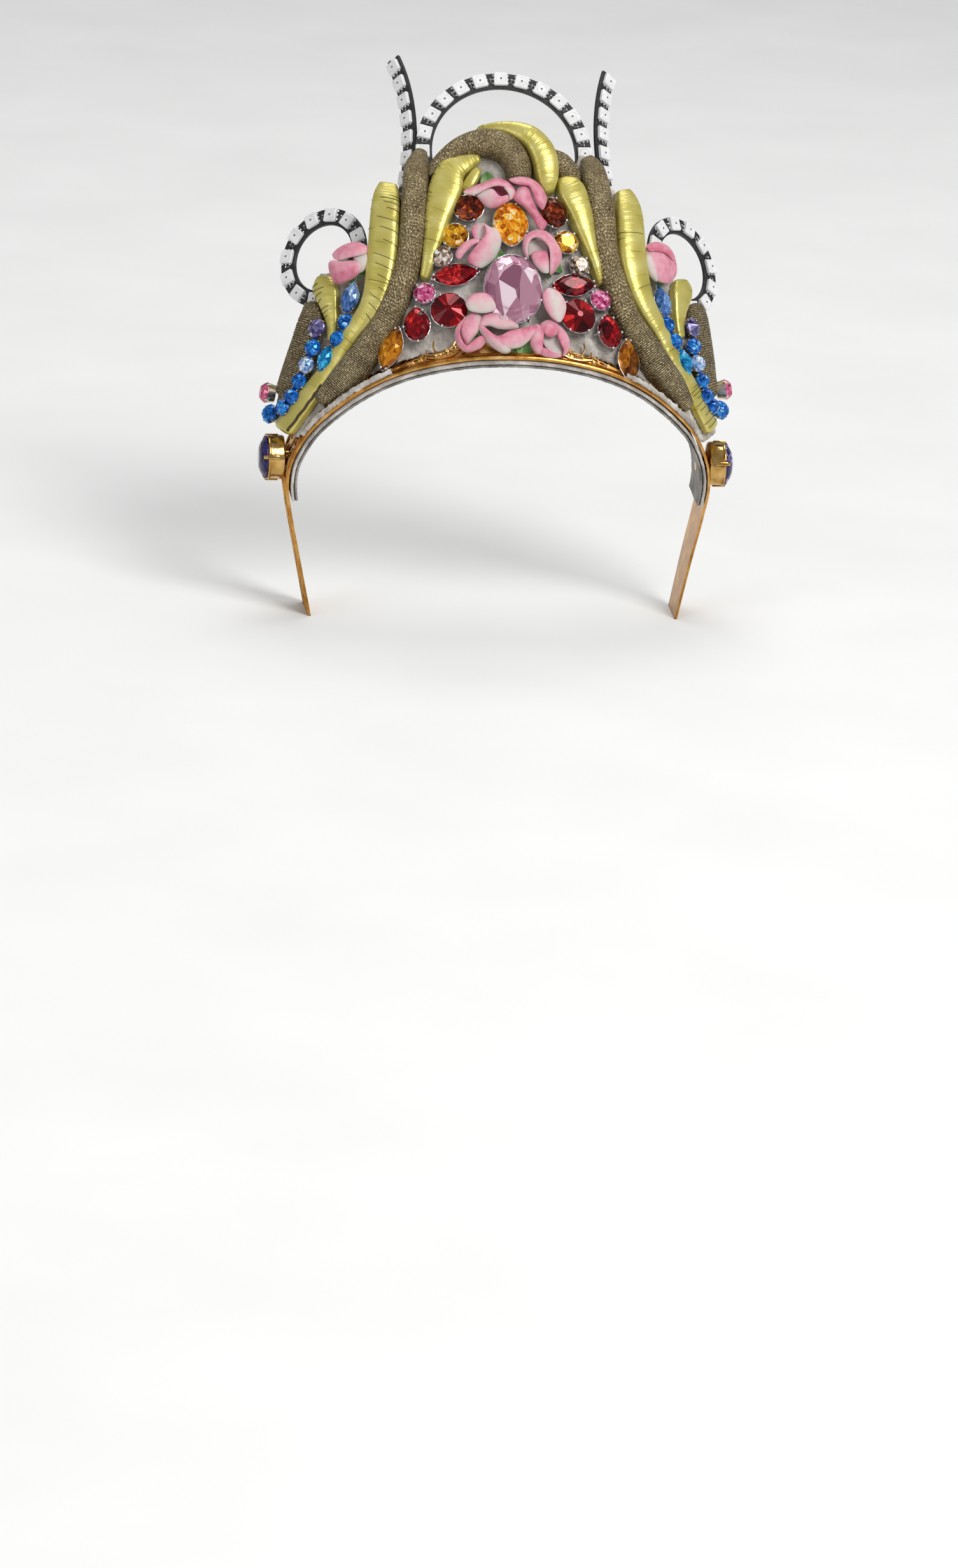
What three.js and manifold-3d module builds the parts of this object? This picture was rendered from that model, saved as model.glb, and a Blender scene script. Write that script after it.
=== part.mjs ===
// Tiara headband: a jewelled felt crown standing on a gilt band that arches over the head.
//
// Millimetres. The crown is laid out as it is worn: X to the wearer's left, Y to the back of the head,
// Z up, with zero at the top of the band's front edge. The whole is then leaned back until its weight is
// over the two cut ends of the band, on which it stands, with the origin under the middle of its box.

import * as THREE from 'three';
import { mergeVertices } from 'three/addons/utils/BufferGeometryUtils.js';
import Module from 'manifold-3d';

const wasm = await Module();
wasm.setup();

const { degToRad, lerp } = THREE.MathUtils;

const GAP = 0.3;                    // air between two pieces that touch

// How the tiara stands
const REST_LEAN = degToRad(14.5);   // leaned back from the way it is worn
const FOOT_HEIGHT = -92;            // worn height of the cut ends of the band

// The band and its lining
const BAND_THICK = 1.2;
const BAND_WIDTH = { top: 24, end: 17 };
const BAND_PITCH = { top: degToRad(23), end: degToRad(6) };   // how far its width slopes up to the back
const LINING_THICK = 2.2;
const LINING_PROUD = 1.0;           // the lining's edge stands out in front of the band
const LINING_ENDS = 0.155;          // share of the band's run left bare at each end
const BAND_STEPS = 40;
const HEAD_ROOM = 20;               // how far under and beside the band other pieces are cut away
const BAND_EDGE = [                 // the band's front edge, from the top down one side
  { x: 0, y: 0, z: 0 },
  { x: 18, y: 1.2, z: -1.1 },
  { x: 37, y: 4, z: -5.3 },
  { x: 53, y: 8.6, z: -12.8 },
  { x: 67.7, y: 16.5, z: -24.6 },
  { x: 75, y: 24, z: -36 },
  { x: 77, y: 29, z: -46 },
  { x: 75.5, y: 33, z: -57 },
  { x: 71.8, y: 37, z: -74 },
  { x: 66, y: 41, z: -101 },
];

// The face layer: the curved surface on which the fronts of the scrolls and stones lie
const FACE = { halfWidth: 88, depth: 60, lean: 0.40, forward: -0.8 };
const PAD = 6;                      // from the face layer back to the felt
const BACK = -5.5;                  // the backs of the pieces on the felt, from the face layer
const FELT_THICK = 3;

// The felt panel: the height of its upper edge
const PANEL_CREST = [
  { x: -29.3, top: 74 }, { x: -27.5, top: 71 }, { x: -25, top: 74.5 }, { x: -20, top: 79 },
  { x: -13, top: 82.5 }, { x: -5, top: 84.5 }, { x: 3, top: 84 }, { x: 10, top: 81.5 },
  { x: 15, top: 77.5 }, { x: 19, top: 74 }, { x: 23, top: 71 }, { x: 27.5, top: 67 }, { x: 29.3, top: 73 },
];
const PANEL_SIDE = [
  { x: 31, top: 76.5 }, { x: 33.5, top: 74 }, { x: 36, top: 69 }, { x: 38.2, top: 59 }, { x: 40, top: 62 },
  { x: 43, top: 63.5 }, { x: 46.5, top: 61 }, { x: 49, top: 52 }, { x: 51, top: 40 }, { x: 61, top: 38.5 },
  { x: 65, top: 31.5 }, { x: 69.5, top: 30.5 }, { x: 71, top: 22 }, { x: 75, top: 20 }, { x: 78.8, top: 10.5 },
  { x: 81.8, top: 0 }, { x: 84.2, top: -10 }, { x: 86.3, top: -19 },
];
const PANEL_FOOT = { under: -7, drop: 46, halfWidth: 80, sideFrom: 76.5, side: -29, tip: -25.5 };

// ---------------------------------------------------------------- solids

function solidOf(geometry) {
  const bare = geometry.clone();
  bare.deleteAttribute('normal');
  bare.deleteAttribute('uv');
  const merged = mergeVertices(bare, 1e-4);
  const solid = new wasm.Manifold(new wasm.Mesh({
    numProp: 3,
    vertProperties: new Float32Array(merged.attributes.position.array),
    triVerts: new Uint32Array(merged.index.array),
  }));
  return solid;
}

function geometryOf(solid) {
  const mesh = solid.getMesh();
  const geometry = new THREE.BufferGeometry();
  geometry.setAttribute('position', new THREE.BufferAttribute(new Float32Array(mesh.vertProperties), 3));
  geometry.setIndex(new THREE.BufferAttribute(new Uint32Array(mesh.triVerts), 1));
  geometry.computeVertexNormals();
  return geometry;
}

function signedVolume(points, faces) {
  let volume = 0;
  for (let f = 0; f < faces.length; f += 3) {
    const [a, b, c] = [points[faces[f]], points[faces[f + 1]], points[faces[f + 2]]];
    volume += a.dot(b.clone().cross(c)) / 6;
  }
  return volume;
}

// A closed body through rings of points, each ring with the same number of points, with flat fans as ends
function loft(rings) {
  const sides = rings[0].length;
  const points = rings.flat();
  const faces = [];
  for (let r = 0; r < rings.length - 1; r++) {
    for (let s = 0; s < sides; s++) {
      const a = r * sides + s;
      const b = r * sides + (s + 1) % sides;
      faces.push(a, b, b + sides, a, b + sides, a + sides);
    }
  }
  for (const [first, turned] of [[0, true], [(rings.length - 1) * sides, false]]) {
    const middle = points.length;
    const ring = points.slice(first, first + sides);
    points.push(ring.reduce((sum, p) => sum.add(p), new THREE.Vector3()).divideScalar(sides));
    for (let s = 0; s < sides; s++) {
      const a = first + s;
      const b = first + (s + 1) % sides;
      faces.push(...(turned ? [b, a, middle] : [a, b, middle]));
    }
  }
  if (signedVolume(points, faces) < 0) faces.reverse();
  const geometry = new THREE.BufferGeometry();
  geometry.setFromPoints(points);
  geometry.setIndex(faces);
  return solidOf(geometry);
}

function joined(solids) {
  return solids.reduce((whole, solid) => whole.add(solid));
}

function placed(geometry, matrix) {
  return solidOf(geometry.clone().applyMatrix4(matrix));
}

// ---------------------------------------------------------------- the band and its lining

function bandCurve() {
  const half = BAND_EDGE.map(({ x, y, z }) => new THREE.Vector3(x, y, z));
  const other = half.slice(1).reverse().map(({ x, y, z }) => new THREE.Vector3(-x, y, z));
  return new THREE.CatmullRomCurve3([...other, ...half]);
}

// Stations along the band: a point on its front edge, with the ways out of its face and to its back edge
const bandStations = bandCurve().getSpacedPoints(BAND_STEPS).map((at, step, all) => {
  const along = all[Math.min(step + 1, BAND_STEPS)].clone().sub(all[Math.max(step - 1, 0)]).normalize();
  const share = Math.sin(Math.PI * step / BAND_STEPS);
  const pitch = lerp(BAND_PITCH.end, BAND_PITCH.top, share);
  const back = new THREE.Vector3(0, Math.cos(pitch), Math.sin(pitch));
  back.addScaledVector(along, -back.dot(along)).normalize();
  const out = along.clone().cross(back).normalize();
  return { at, back, out, width: lerp(BAND_WIDTH.end, BAND_WIDTH.top, share) };
});

function bandPoint(station, out, back) {
  return station.at.clone().addScaledVector(station.out, out).addScaledVector(station.back, back);
}

function bandStrip({ from = 0, to = BAND_STEPS, outer, inner, front = 0, behind = 0 }) {
  return loft(bandStations.slice(from, to + 1).map((station) => {
    const across = [front, station.width / 2, station.width + behind];
    const over = across.map((back) => bandPoint(station, outer, back));
    const under = across.map((back) => bandPoint(station, inner, back)).reverse();
    return [...over, ...under];
  }));
}

// The room of the band and of the head under it, which every piece on the band's outside stays clear of
const bandRoom = bandStrip({ outer: 2 * GAP, inner: -HEAD_ROOM, front: -HEAD_ROOM, behind: HEAD_ROOM });

// The block under the two feet, which cuts the band's ends level with the surface it stands on
function underFeet() {
  const foot = bandPoint(bandStations[0], 0, BAND_WIDTH.end / 2);
  const size = 300;
  const block = new THREE.BoxGeometry(size, size, size);
  block.translate(0, 0, -size / 2);
  const level = new THREE.Matrix4().makeRotationX(REST_LEAN);
  return placed(block, level.setPosition(0, foot.y, FOOT_HEIGHT));
}

// ---------------------------------------------------------------- the face layer

// The point of the face layer at x and z, with its directions to the right, up and out
function faceAt(x, z) {
  const sine = THREE.MathUtils.clamp(x / FACE.halfWidth, -0.985, 0.985);
  const cosine = Math.sqrt(1 - sine * sine);
  const slope = FACE.depth / FACE.halfWidth * sine / cosine;
  const y = FACE.depth * (1 - cosine) + FACE.lean * z + FACE.forward;
  const out = new THREE.Vector3(slope, -1, FACE.lean).normalize();
  const right = new THREE.Vector3(1, slope, 0).normalize();
  return { at: new THREE.Vector3(x, y, z), right, up: out.clone().cross(right), out };
}

function facePoint(x, z, proud) {
  const { at, out } = faceAt(x, z);
  return at.addScaledVector(out, proud);
}

// The frame of a piece set on the face layer, turned about its own axis and, if asked, sideways
function seat({ x, z, turn = 0, sideways = 0 }) {
  const { at, right, up, out } = faceAt(x, z);
  const aside = degToRad(sideways) * Math.sign(x);
  const turned = new THREE.Matrix4().makeRotationZ(degToRad(turn));
  const swung = new THREE.Matrix4().makeRotationY(aside);
  return new THREE.Matrix4().makeBasis(right, up, out).multiply(swung).multiply(turned).setPosition(at);
}

function feltPanel() {
  const left = PANEL_SIDE.map(({ x, top }) => ({ x: -x, top })).reverse();
  const columns = [...left, ...PANEL_CREST, ...PANEL_SIDE].map(({ x, top }) => {
    const outside = Math.abs(x) - PANEL_FOOT.sideFrom;
    const arch = 1 - Math.sqrt(1 - Math.min(x / PANEL_FOOT.halfWidth, 1) ** 2);
    const bottom = outside > 0
      ? lerp(PANEL_FOOT.side, PANEL_FOOT.tip, outside / 10)
      : PANEL_FOOT.under - PANEL_FOOT.drop * arch;
    return [
      facePoint(x, bottom, -PAD),
      facePoint(x, top, -PAD),
      facePoint(x, top, -PAD - FELT_THICK),
      facePoint(x, bottom, -PAD - FELT_THICK),
    ];
  });
  return loft(columns).subtract(bandRoom);
}

// ---------------------------------------------------------------- padded scrolls

const SCROLL_SECTION = 6;           // facets over the rounded front of a scroll
const SAMPLES_PER_ROW = 2;

// A padded strip with a flat back on the felt and a rounded front, along rows of { x, z, width, height }
function scroll(rows, grow) {
  const line = new THREE.SplineCurve(rows.map(({ x, z }) => new THREE.Vector2(x, z)));
  const samples = (rows.length - 1) * SAMPLES_PER_ROW;
  const rings = [];
  for (let i = 0; i <= samples; i++) {
    const at = line.getPoint(i / samples);
    const along = line.getTangent(i / samples);
    const row = Math.min(Math.floor(i / SAMPLES_PER_ROW), rows.length - 2);
    const share = i / SAMPLES_PER_ROW - row;
    const width = lerp(rows[row].width, rows[row + 1].width, share) / 2 + grow;
    const height = lerp(rows[row].height, rows[row + 1].height, share) + 2 * grow;
    const ring = [];
    for (let k = 0; k <= SCROLL_SECTION; k++) {
      const angle = Math.PI * k / SCROLL_SECTION;
      const across = width * Math.cos(angle);
      const proud = height * Math.sin(angle) + BACK - grow;
      ring.push(facePoint(at.x - along.y * across, at.y + along.x * across, proud));
    }
    ring.push(facePoint(at.x, at.y, BACK - grow));
    rings.push(ring);
  }
  return loft(rings);
}

const PAIRED_SCROLLS = [
  { name: 'bronze_scroll', finish: 'bronze', rows: [
    { left: [29.9, 75.9], right: [32.2, 74.4], width: 2.5, height: 2.5 },
    { left: [31, 71.5], right: [33.2, 71], width: 6.5, height: 5 },
    { left: [32.1, 66.2], right: [34.2, 66.5], width: 8.4, height: 6.5 },
    { left: [33, 52.9], right: [36.2, 54.1], width: 9.2, height: 7 },
    { left: [36, 34], right: [38, 35.3], width: 8.2, height: 7 },
    { left: [43.3, 15.4], right: [44.4, 16.9], width: 7.6, height: 7 },
    { left: [49.4, 5.8], right: [50.4, 7.4], width: 8, height: 7 },
    { left: [55.6, -2.6], right: [56.6, -1.4], width: 8.4, height: 7 },
    { left: [61.8, -9], right: [63.4, -9], width: 7, height: 6 },
    { left: [69.6, -15.8], right: [69.8, -16.6], width: 3.6, height: 3.5 },
  ] },
  { name: 'gold_scroll', finish: 'foil', rows: [
    { left: [41.9, 62.4], right: [45.8, 61.8], width: 3, height: 2.5 },
    { left: [42.8, 58.2], right: [46.6, 57.6], width: 7, height: 5 },
    { left: [43.4, 51], right: [46.8, 50.8], width: 9.2, height: 6.5 },
    { left: [45, 34], right: [47.2, 35.4], width: 9.4, height: 7 },
    { left: [48.8, 19.3], right: [51, 22], width: 7.6, height: 6.5 },
    { left: [56.3, 8.3], right: [58, 10.3], width: 6, height: 6 },
    { left: [62.4, -1], right: [64.2, -0.6], width: 5.2, height: 5.5 },
    { left: [67.7, -6.9], right: [68.6, -5.6], width: 4.8, height: 5.5 },
    { left: [74, -14.4], right: [73.6, -12.8], width: 5, height: 5.5 },
    { left: [83.6, -26.6], right: [81.8, -24], width: 4.6, height: 5 },
  ] },
  { name: 'gold_tip', finish: 'foil', rows: [
    { left: [66, 29.8], right: [68.4, 30.6], width: 3.5, height: 2.5 },
    { left: [65.8, 24.4], right: [68.8, 25.6], width: 7.4, height: 3.6 },
    { left: [64.4, 16.9], right: [67.6, 18.9], width: 4.6, height: 3.2 },
    { left: [63.9, 11], right: [67.4, 13.6], width: 2.6, height: 2.6 },
    { left: [64.7, 5.4], right: [68.4, 8.6], width: 1.6, height: 2 },
  ] },
  { name: 'bronze_scroll_outer', finish: 'bronze', rows: [
    { left: [72, 20.4], right: [76.2, 22], width: 3.5, height: 2 },
    { left: [71.8, 15], right: [76.4, 16.8], width: 8, height: 2.8 },
    { left: [74, 7], right: [77.4, 9], width: 9.6, height: 2.8 },
    { left: [76.5, -0.9], right: [78.6, 1.2], width: 9.6, height: 2.8 },
    { left: [78.8, -7.7], right: [79.8, -5.6], width: 8.6, height: 2.8 },
    { left: [81.4, -15.2], right: [81.6, -13.2], width: 7, height: 2.8 },
  ] },
];

const SCROLLS = [
  { name: 'gold_ribbon_top', finish: 'foil', rows: [
    { x: -8.6, z: 83.2, width: 1.4, height: 2 },
    { x: -0.6, z: 83.3, width: 3, height: 5 },
    { x: 6, z: 81.2, width: 5.6, height: 7.5 },
    { x: 10.2, z: 78.2, width: 7.8, height: 8 },
    { x: 13.4, z: 73, width: 9.6, height: 8 },
    { x: 14.3, z: 67, width: 8.6, height: 7.5 },
    { x: 15.3, z: 63, width: 5.4, height: 6 },
    { x: 16.4, z: 59.5, width: 2, height: 4 },
  ] },
  { name: 'bronze_curl_top', finish: 'bronze', rows: [
    { x: -25.5, z: 69.5, width: 4, height: 4 },
    { x: -20.6, z: 74, width: 6.4, height: 6 },
    { x: -13.7, z: 77.2, width: 8, height: 7 },
    { x: -5.6, z: 77.5, width: 9, height: 7.5 },
    { x: 0.5, z: 74.6, width: 9.4, height: 7.5 },
    { x: 3.6, z: 69.8, width: 8.6, height: 7 },
    { x: 4.4, z: 65, width: 6, height: 5 },
  ] },
  { name: 'bronze_tip_right', finish: 'bronze', rows: [
    { x: 18.2, z: 73, width: 2.5, height: 3 },
    { x: 21.8, z: 70, width: 5, height: 5 },
    { x: 26.6, z: 66, width: 3, height: 3 },
  ] },
  { name: 'gold_leaf_left', finish: 'foil', rows: [
    { x: -8.8, z: 72.3, width: 1.4, height: 2 },
    { x: -13.4, z: 69.8, width: 3.8, height: 4 },
    { x: -19, z: 65.6, width: 7.4, height: 6 },
    { x: -22.2, z: 59.6, width: 9, height: 6.5 },
    { x: -24, z: 52, width: 7.4, height: 6.5 },
    { x: -26, z: 43.5, width: 5, height: 6 },
    { x: -28.5, z: 34.5, width: 3, height: 5 },
    { x: -30.6, z: 28.5, width: 1.4, height: 3 },
  ] },
  { name: 'gold_leaf_right', finish: 'foil', rows: [
    { x: 21.6, z: 65.6, width: 3, height: 3.5 },
    { x: 25.2, z: 60.6, width: 8, height: 6 },
    { x: 27.6, z: 53.4, width: 6.6, height: 6.5 },
    { x: 29, z: 47.6, width: 5, height: 6 },
    { x: 30.6, z: 40.8, width: 3.6, height: 5.5 },
    { x: 33, z: 34, width: 2.6, height: 5 },
    { x: 35.2, z: 27.6, width: 1.4, height: 3 },
  ] },
  { name: 'gold_bit_top', finish: 'foil', rows: [
    { x: -14, z: 62, width: 1.6, height: 2.5 },
    { x: -11.4, z: 64.8, width: 3.6, height: 3.5 },
    { x: -9, z: 67, width: 2.4, height: 2.5 },
  ] },
];

// ---------------------------------------------------------------- stones in their cups

const OUTLINES = {
  round: (angle) => [Math.cos(angle), Math.sin(angle)],
  navette: (angle) => [Math.cos(angle), Math.sin(angle) * Math.abs(Math.sin(angle))],
  pear: (angle) => [Math.cos(angle) * (1 - 0.42 * Math.max(Math.sin(angle), 0) ** 2), Math.sin(angle)],
};

// A closed body of one outline at several levels, each { out, scale }, on the frame `where`
function stacked(where, outline, { width, height, facets = 12 }, levels, grow) {
  const rings = levels.map(({ out, scale }, index) => {
    const end = index === 0 ? -grow : (index === levels.length - 1 ? grow : 0);
    return Array.from({ length: facets }, (_, k) => {
      const [across, up] = OUTLINES[outline](2 * Math.PI * (k + 0.5) / facets);
      const local = new THREE.Vector3(
        across * (width / 2 * scale + grow),
        up * (height / 2 * scale + grow),
        out + end,
      );
      return local.applyMatrix4(where);
    });
  });
  return loft(rings);
}

const CROWN_HEIGHT = 2.2;

// A faceted stone held in a metal cup: its cup stands on the felt and its crown rises past the girdle
function setStone(stone, grow) {
  const { base = BACK, crown = 0, cut = 'round', table = 0.55 } = stone;
  const levels = [
    { out: base, scale: 0.78 },
    { out: crown - CROWN_HEIGHT, scale: 1 },
    { out: crown, scale: table },
  ];
  return stacked(seat(stone), cut, stone, levels, grow);
}

const STONES = [
  { name: 'stone_pink_oval', x: 1.3, z: 24.3, width: 21, height: 26, crown: 2.5, facets: 16, colour: 0xd98aa8 },
  { name: 'stone_amber_pear', x: 1.5, z: 47.9, width: 13, height: 17, turn: 180, cut: 'pear', crown: 1,
    colour: 0xf0a01c },
  { name: 'stone_topaz_left', x: -13.5, z: 54.1, width: 11.2, height: 10.4, colour: 0x8c2c0a },
  { name: 'stone_topaz_right', x: 17.9, z: 52.8, width: 9.8, height: 12, turn: 12, colour: 0x8c2c0a },
  { name: 'stone_yellow_left', x: -18.8, z: 44, width: 10, height: 9.6, colour: 0xe8a010 },
  { name: 'stone_yellow_right', x: 22.1, z: 42.3, width: 9.2, height: 9, colour: 0xe8a010 },
  { name: 'stone_champagne_left', x: -24, z: 36.5, width: 8.2, height: 8.2, colour: 0xc8ac90 },
  { name: 'stone_champagne_right', x: 26.9, z: 33.9, width: 7.8, height: 7.8, colour: 0xc8ac90 },
  { name: 'stone_red_navette_left', x: -19.1, z: 30, width: 17.6, height: 8.6, turn: 10, cut: 'navette',
    colour: 0xa80f14 },
  { name: 'stone_red_navette_right', x: 24.3, z: 26.9, width: 17.6, height: 8.6, turn: 4, cut: 'navette',
    colour: 0xa80f14 },
  { name: 'stone_red_round_left', x: -21.8, z: 17.3, width: 13.3, height: 13.3, table: 0.2, colour: 0x8f0a10 },
  { name: 'stone_red_round_right', x: 25.5, z: 15.9, width: 13.2, height: 13.2, table: 0.2, colour: 0x8f0a10 },
  { name: 'stone_red_pear_left', x: -33.4, z: 12.1, width: 9.8, height: 13.2, turn: 8, cut: 'pear',
    colour: 0x9a0c12 },
  { name: 'stone_red_pear_right', x: 37.3, z: 10.6, width: 9.4, height: 13, turn: 2, cut: 'pear',
    colour: 0x9a0c12 },
  { name: 'stone_pink_round_left', x: -30.4, z: 23.2, width: 8, height: 8, colour: 0xd94f9a },
  { name: 'stone_pink_round_right', x: 34.3, z: 21.8, width: 8, height: 8, colour: 0xd94f9a },
  { name: 'stone_amber_navette_left', x: -42.9, z: 3.2, width: 17.5, height: 8.8, turn: 76, cut: 'navette',
    colour: 0xd98a1a },
  { name: 'stone_amber_navette_right', x: 44.3, z: 0.3, width: 17.5, height: 8.8, turn: 83, cut: 'navette',
    colour: 0xd98a1a },
];

// The rows of small stones on each side, from the top down, soldered to one wire
const SIDE_ROWS = [
  { name: 'stone_row_inner', colour: 0x3f74cf, base: -3.2, rail: [BACK, -2.6], stones: [
    { left: [56.5, 21.6], right: [58.8, 22], width: 7.4, height: 12.4, turn: 8, cut: 'pear' },
    { left: [58.4, 12.5], right: [60.4, 13.1], width: 6, height: 5.8 },
    { left: [61.2, 6.4], right: [63.2, 7.3], width: 6, height: 5.8 },
    { left: [65.8, -0.8], right: [67.2, 0], width: 10.6, height: 6.2, turn: 104, cut: 'navette' },
  ] },
  { name: 'stone_row_outer', colour: 0x2a62c8, base: -2.6, rail: [-2.6, -1.2], stones: [
    { left: [68.6, 10], right: [71.6, 12.4], width: 7.2, height: 7.4 },
    { left: [70, 3], right: [71.4, 5.5], width: 5.8, height: 6.2 },
    { left: [72.3, -3.2], right: [72.9, -0.7], width: 5.8, height: 6.2 },
    { left: [74.9, -9.1], right: [74.5, -6.9], width: 5.2, height: 5.6 },
    { left: [77.4, -14.6], right: [76.3, -12.4], width: 5.2, height: 5.6 },
    { left: [80.4, -18.6], right: [78.9, -16], width: 5.2, height: 5.6 },
    { left: [84.6, -21.2], right: [83.2, -17.6], width: 7, height: 7.2, sideways: -12 },
  ] },
];
const ROW_FACETS = 8;
const RAIL_WIDTH = 2.4;

const SIDE_STONE = { left: [85, -13.8], right: [84.8, -10.4], width: 6.4, height: 7.2, sideways: 15, crown: 1.2 };

// Stones soldered to the rail that joins them, which stands between two levels over the felt
function stoneRow({ stones, base, rail }, side, grow) {
  const own = stones.map((stone) => onSide({ ...stone, base, facets: ROW_FACETS }, side));
  const parts = own.map((stone) => setStone(stone, grow));
  const wide = RAIL_WIDTH / 2 + grow;
  parts.push(loft(own.map(({ x, z }) => [
    facePoint(x - wide, z, rail[0] - grow),
    facePoint(x + wide, z, rail[0] - grow),
    facePoint(x + wide, z, rail[1] + grow),
    facePoint(x - wide, z, rail[1] + grow),
  ])));
  return joined(parts);
}

// A piece given for both sides, as it is on one of them
function onSide(piece, { word, sign }) {
  const [x, z] = piece[word];
  return { ...piece, x: sign * x, z, turn: sign * (piece.turn ?? 0) };
}

// The large side stones in gilt cups, one on each side of the band, facing sideways
const BEZEL = { radius: 8, cup: 5.4, crown: 3.2, post: 3, left: [78.4, -37], right: [77.2, -37.4], y: 34 };

function bezelFrame(side) {
  const { x, z } = onSide(BEZEL, side);
  const outward = new THREE.Vector3(side.sign, 0, 0);
  const back = new THREE.Vector3(0, side.sign, 0);
  const up = new THREE.Vector3(0, 0, 1);
  return new THREE.Matrix4().makeBasis(back, up, outward).setPosition(x, BEZEL.y, z);
}

function bezelCup(side, grow) {
  const frame = bezelFrame(side);
  const size = { width: 2 * BEZEL.radius, height: 2 * BEZEL.radius, facets: 20 };
  const cup = stacked(frame, 'round', size, [{ out: 0, scale: 0.94 }, { out: 0.8, scale: 1 },
    { out: BEZEL.cup, scale: 1 }], grow);
  const pin = { width: 2 * BEZEL.post, height: 2 * BEZEL.post, facets: 12 };
  const post = stacked(frame, 'round', pin, [{ out: -6, scale: 1 }, { out: 1, scale: 1 }], grow);
  return joined([cup, post]);
}

function bezelStone(side, grow) {
  const size = { width: 2 * BEZEL.radius, height: 2 * BEZEL.radius, facets: 20 };
  const levels = [
    { out: BEZEL.cup + GAP, scale: 0.9 },
    { out: BEZEL.cup + GAP + 0.8, scale: 0.94 },
    { out: BEZEL.cup + BEZEL.crown, scale: 0.5 },
  ];
  return stacked(bezelFrame(side), 'round', size, levels, grow);
}

// ---------------------------------------------------------------- roses

const ROSES = [
  { name: 'rose_top_left', x: -5.6, z: 59.6, width: 19, height: 10.5, turn: 8, rise: 4.5,
    leaves: [{ turn: 70, long: 7 }] },
  { name: 'rose_top_right', x: 8.6, z: 58.4, width: 12.5, height: 17, turn: 18, rise: 5.5, leaves: [] },
  { name: 'rose_middle_left', x: -9.4, z: 40.4, width: 16, height: 15, turn: -18, rise: 4,
    leaves: [{ turn: -40, long: 8 }] },
  { name: 'rose_middle_right', x: 12.8, z: 38, width: 13.6, height: 16, turn: 0, rise: 4,
    leaves: [{ turn: -30, long: 9 }] },
  { name: 'rose_bottom_left', x: -12.4, z: 10.4, width: 11.6, height: 14.4, turn: -14, rise: 4,
    petal: { x: -9, z: 19.2, width: 11, height: 7.6 }, leaves: [] },
  { name: 'rose_bottom_middle', x: 2.4, z: 7.6, width: 17, height: 13, turn: 4, rise: 4.5,
    leaves: [{ turn: -80, long: 5 }] },
  { name: 'rose_bottom_right', x: 16, z: 7.8, width: 14, height: 13.6, turn: 20, rise: 4,
    petal: { x: 18.2, z: 18.6, width: 8.4, height: 12 }, leaves: [{ turn: 110, long: 9 }] },
];
const SIDE_ROSE = { left: [57.9, 33.5], right: [60.6, 33.2], width: 13.6, height: 15.4, rise: 4, leaves: [{ turn: 190, long: 8.5 }] };
const ROSE_FACETS = 14;
const PETAL_LOBES = 3;
const LOBE_DEPTH = 0.07;

function rose(bloom, grow) {
  const { rise } = bloom;
  const where = seat(bloom);
  const profile = [
    { out: BACK, scale: 0.5 },
    { out: -PAD + 2.4, scale: 0.84 },
    { out: rise - 4.2, scale: 1 },
    { out: rise - 1.8, scale: 0.86 },
    { out: rise, scale: 0.45 },
  ];
  const rings = profile.map(({ out, scale }) => Array.from({ length: ROSE_FACETS }, (_, k) => {
    const angle = 2 * Math.PI * k / ROSE_FACETS;
    const lobe = 1 + LOBE_DEPTH * Math.cos(PETAL_LOBES * angle);
    const across = Math.cos(angle) * (bloom.width / 2 * scale * lobe + grow);
    const up = Math.sin(angle) * (bloom.height / 2 * scale * lobe + grow);
    return new THREE.Vector3(across, up, out).applyMatrix4(where);
  }));
  const parts = [loft(rings)];
  for (const leaf of bloom.leaves) {
    const reach = bloom.width / 2 - 1;
    const blade = new THREE.Matrix4().makeRotationZ(degToRad(leaf.turn));
    const tip = new THREE.Matrix4().makeTranslation(reach, 0, 0);
    const size = { width: leaf.long, height: leaf.long * 0.62, facets: 8 };
    const levels = [{ out: BACK, scale: 0.9 }, { out: -PAD + 2, scale: 1 }];
    parts.push(stacked(where.clone().multiply(blade).multiply(tip), 'round', size, levels, grow));
  }
  if (bloom.petal) {
    const levels = [{ out: -PAD + 1, scale: 0.5 }, { out: 0, scale: 1 }, { out: 2.4, scale: 0.7 }];
    parts.push(stacked(seat(bloom.petal), 'round', { ...bloom.petal, facets: 10 }, levels, grow));
  }
  return joined(parts);
}

// ---------------------------------------------------------------- strips of lamps

const BOARD = { thick: 1.2, beside: 2.6, beyond: 3.5 };   // to the lamps' flush edge and past them
const LAMP = { side: 5, tall: 1.5 };
const SOLDER = 0.2;                 // how deep a lamp is sunk in its solder
const BOARD_SEGMENT = degToRad(12);

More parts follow.
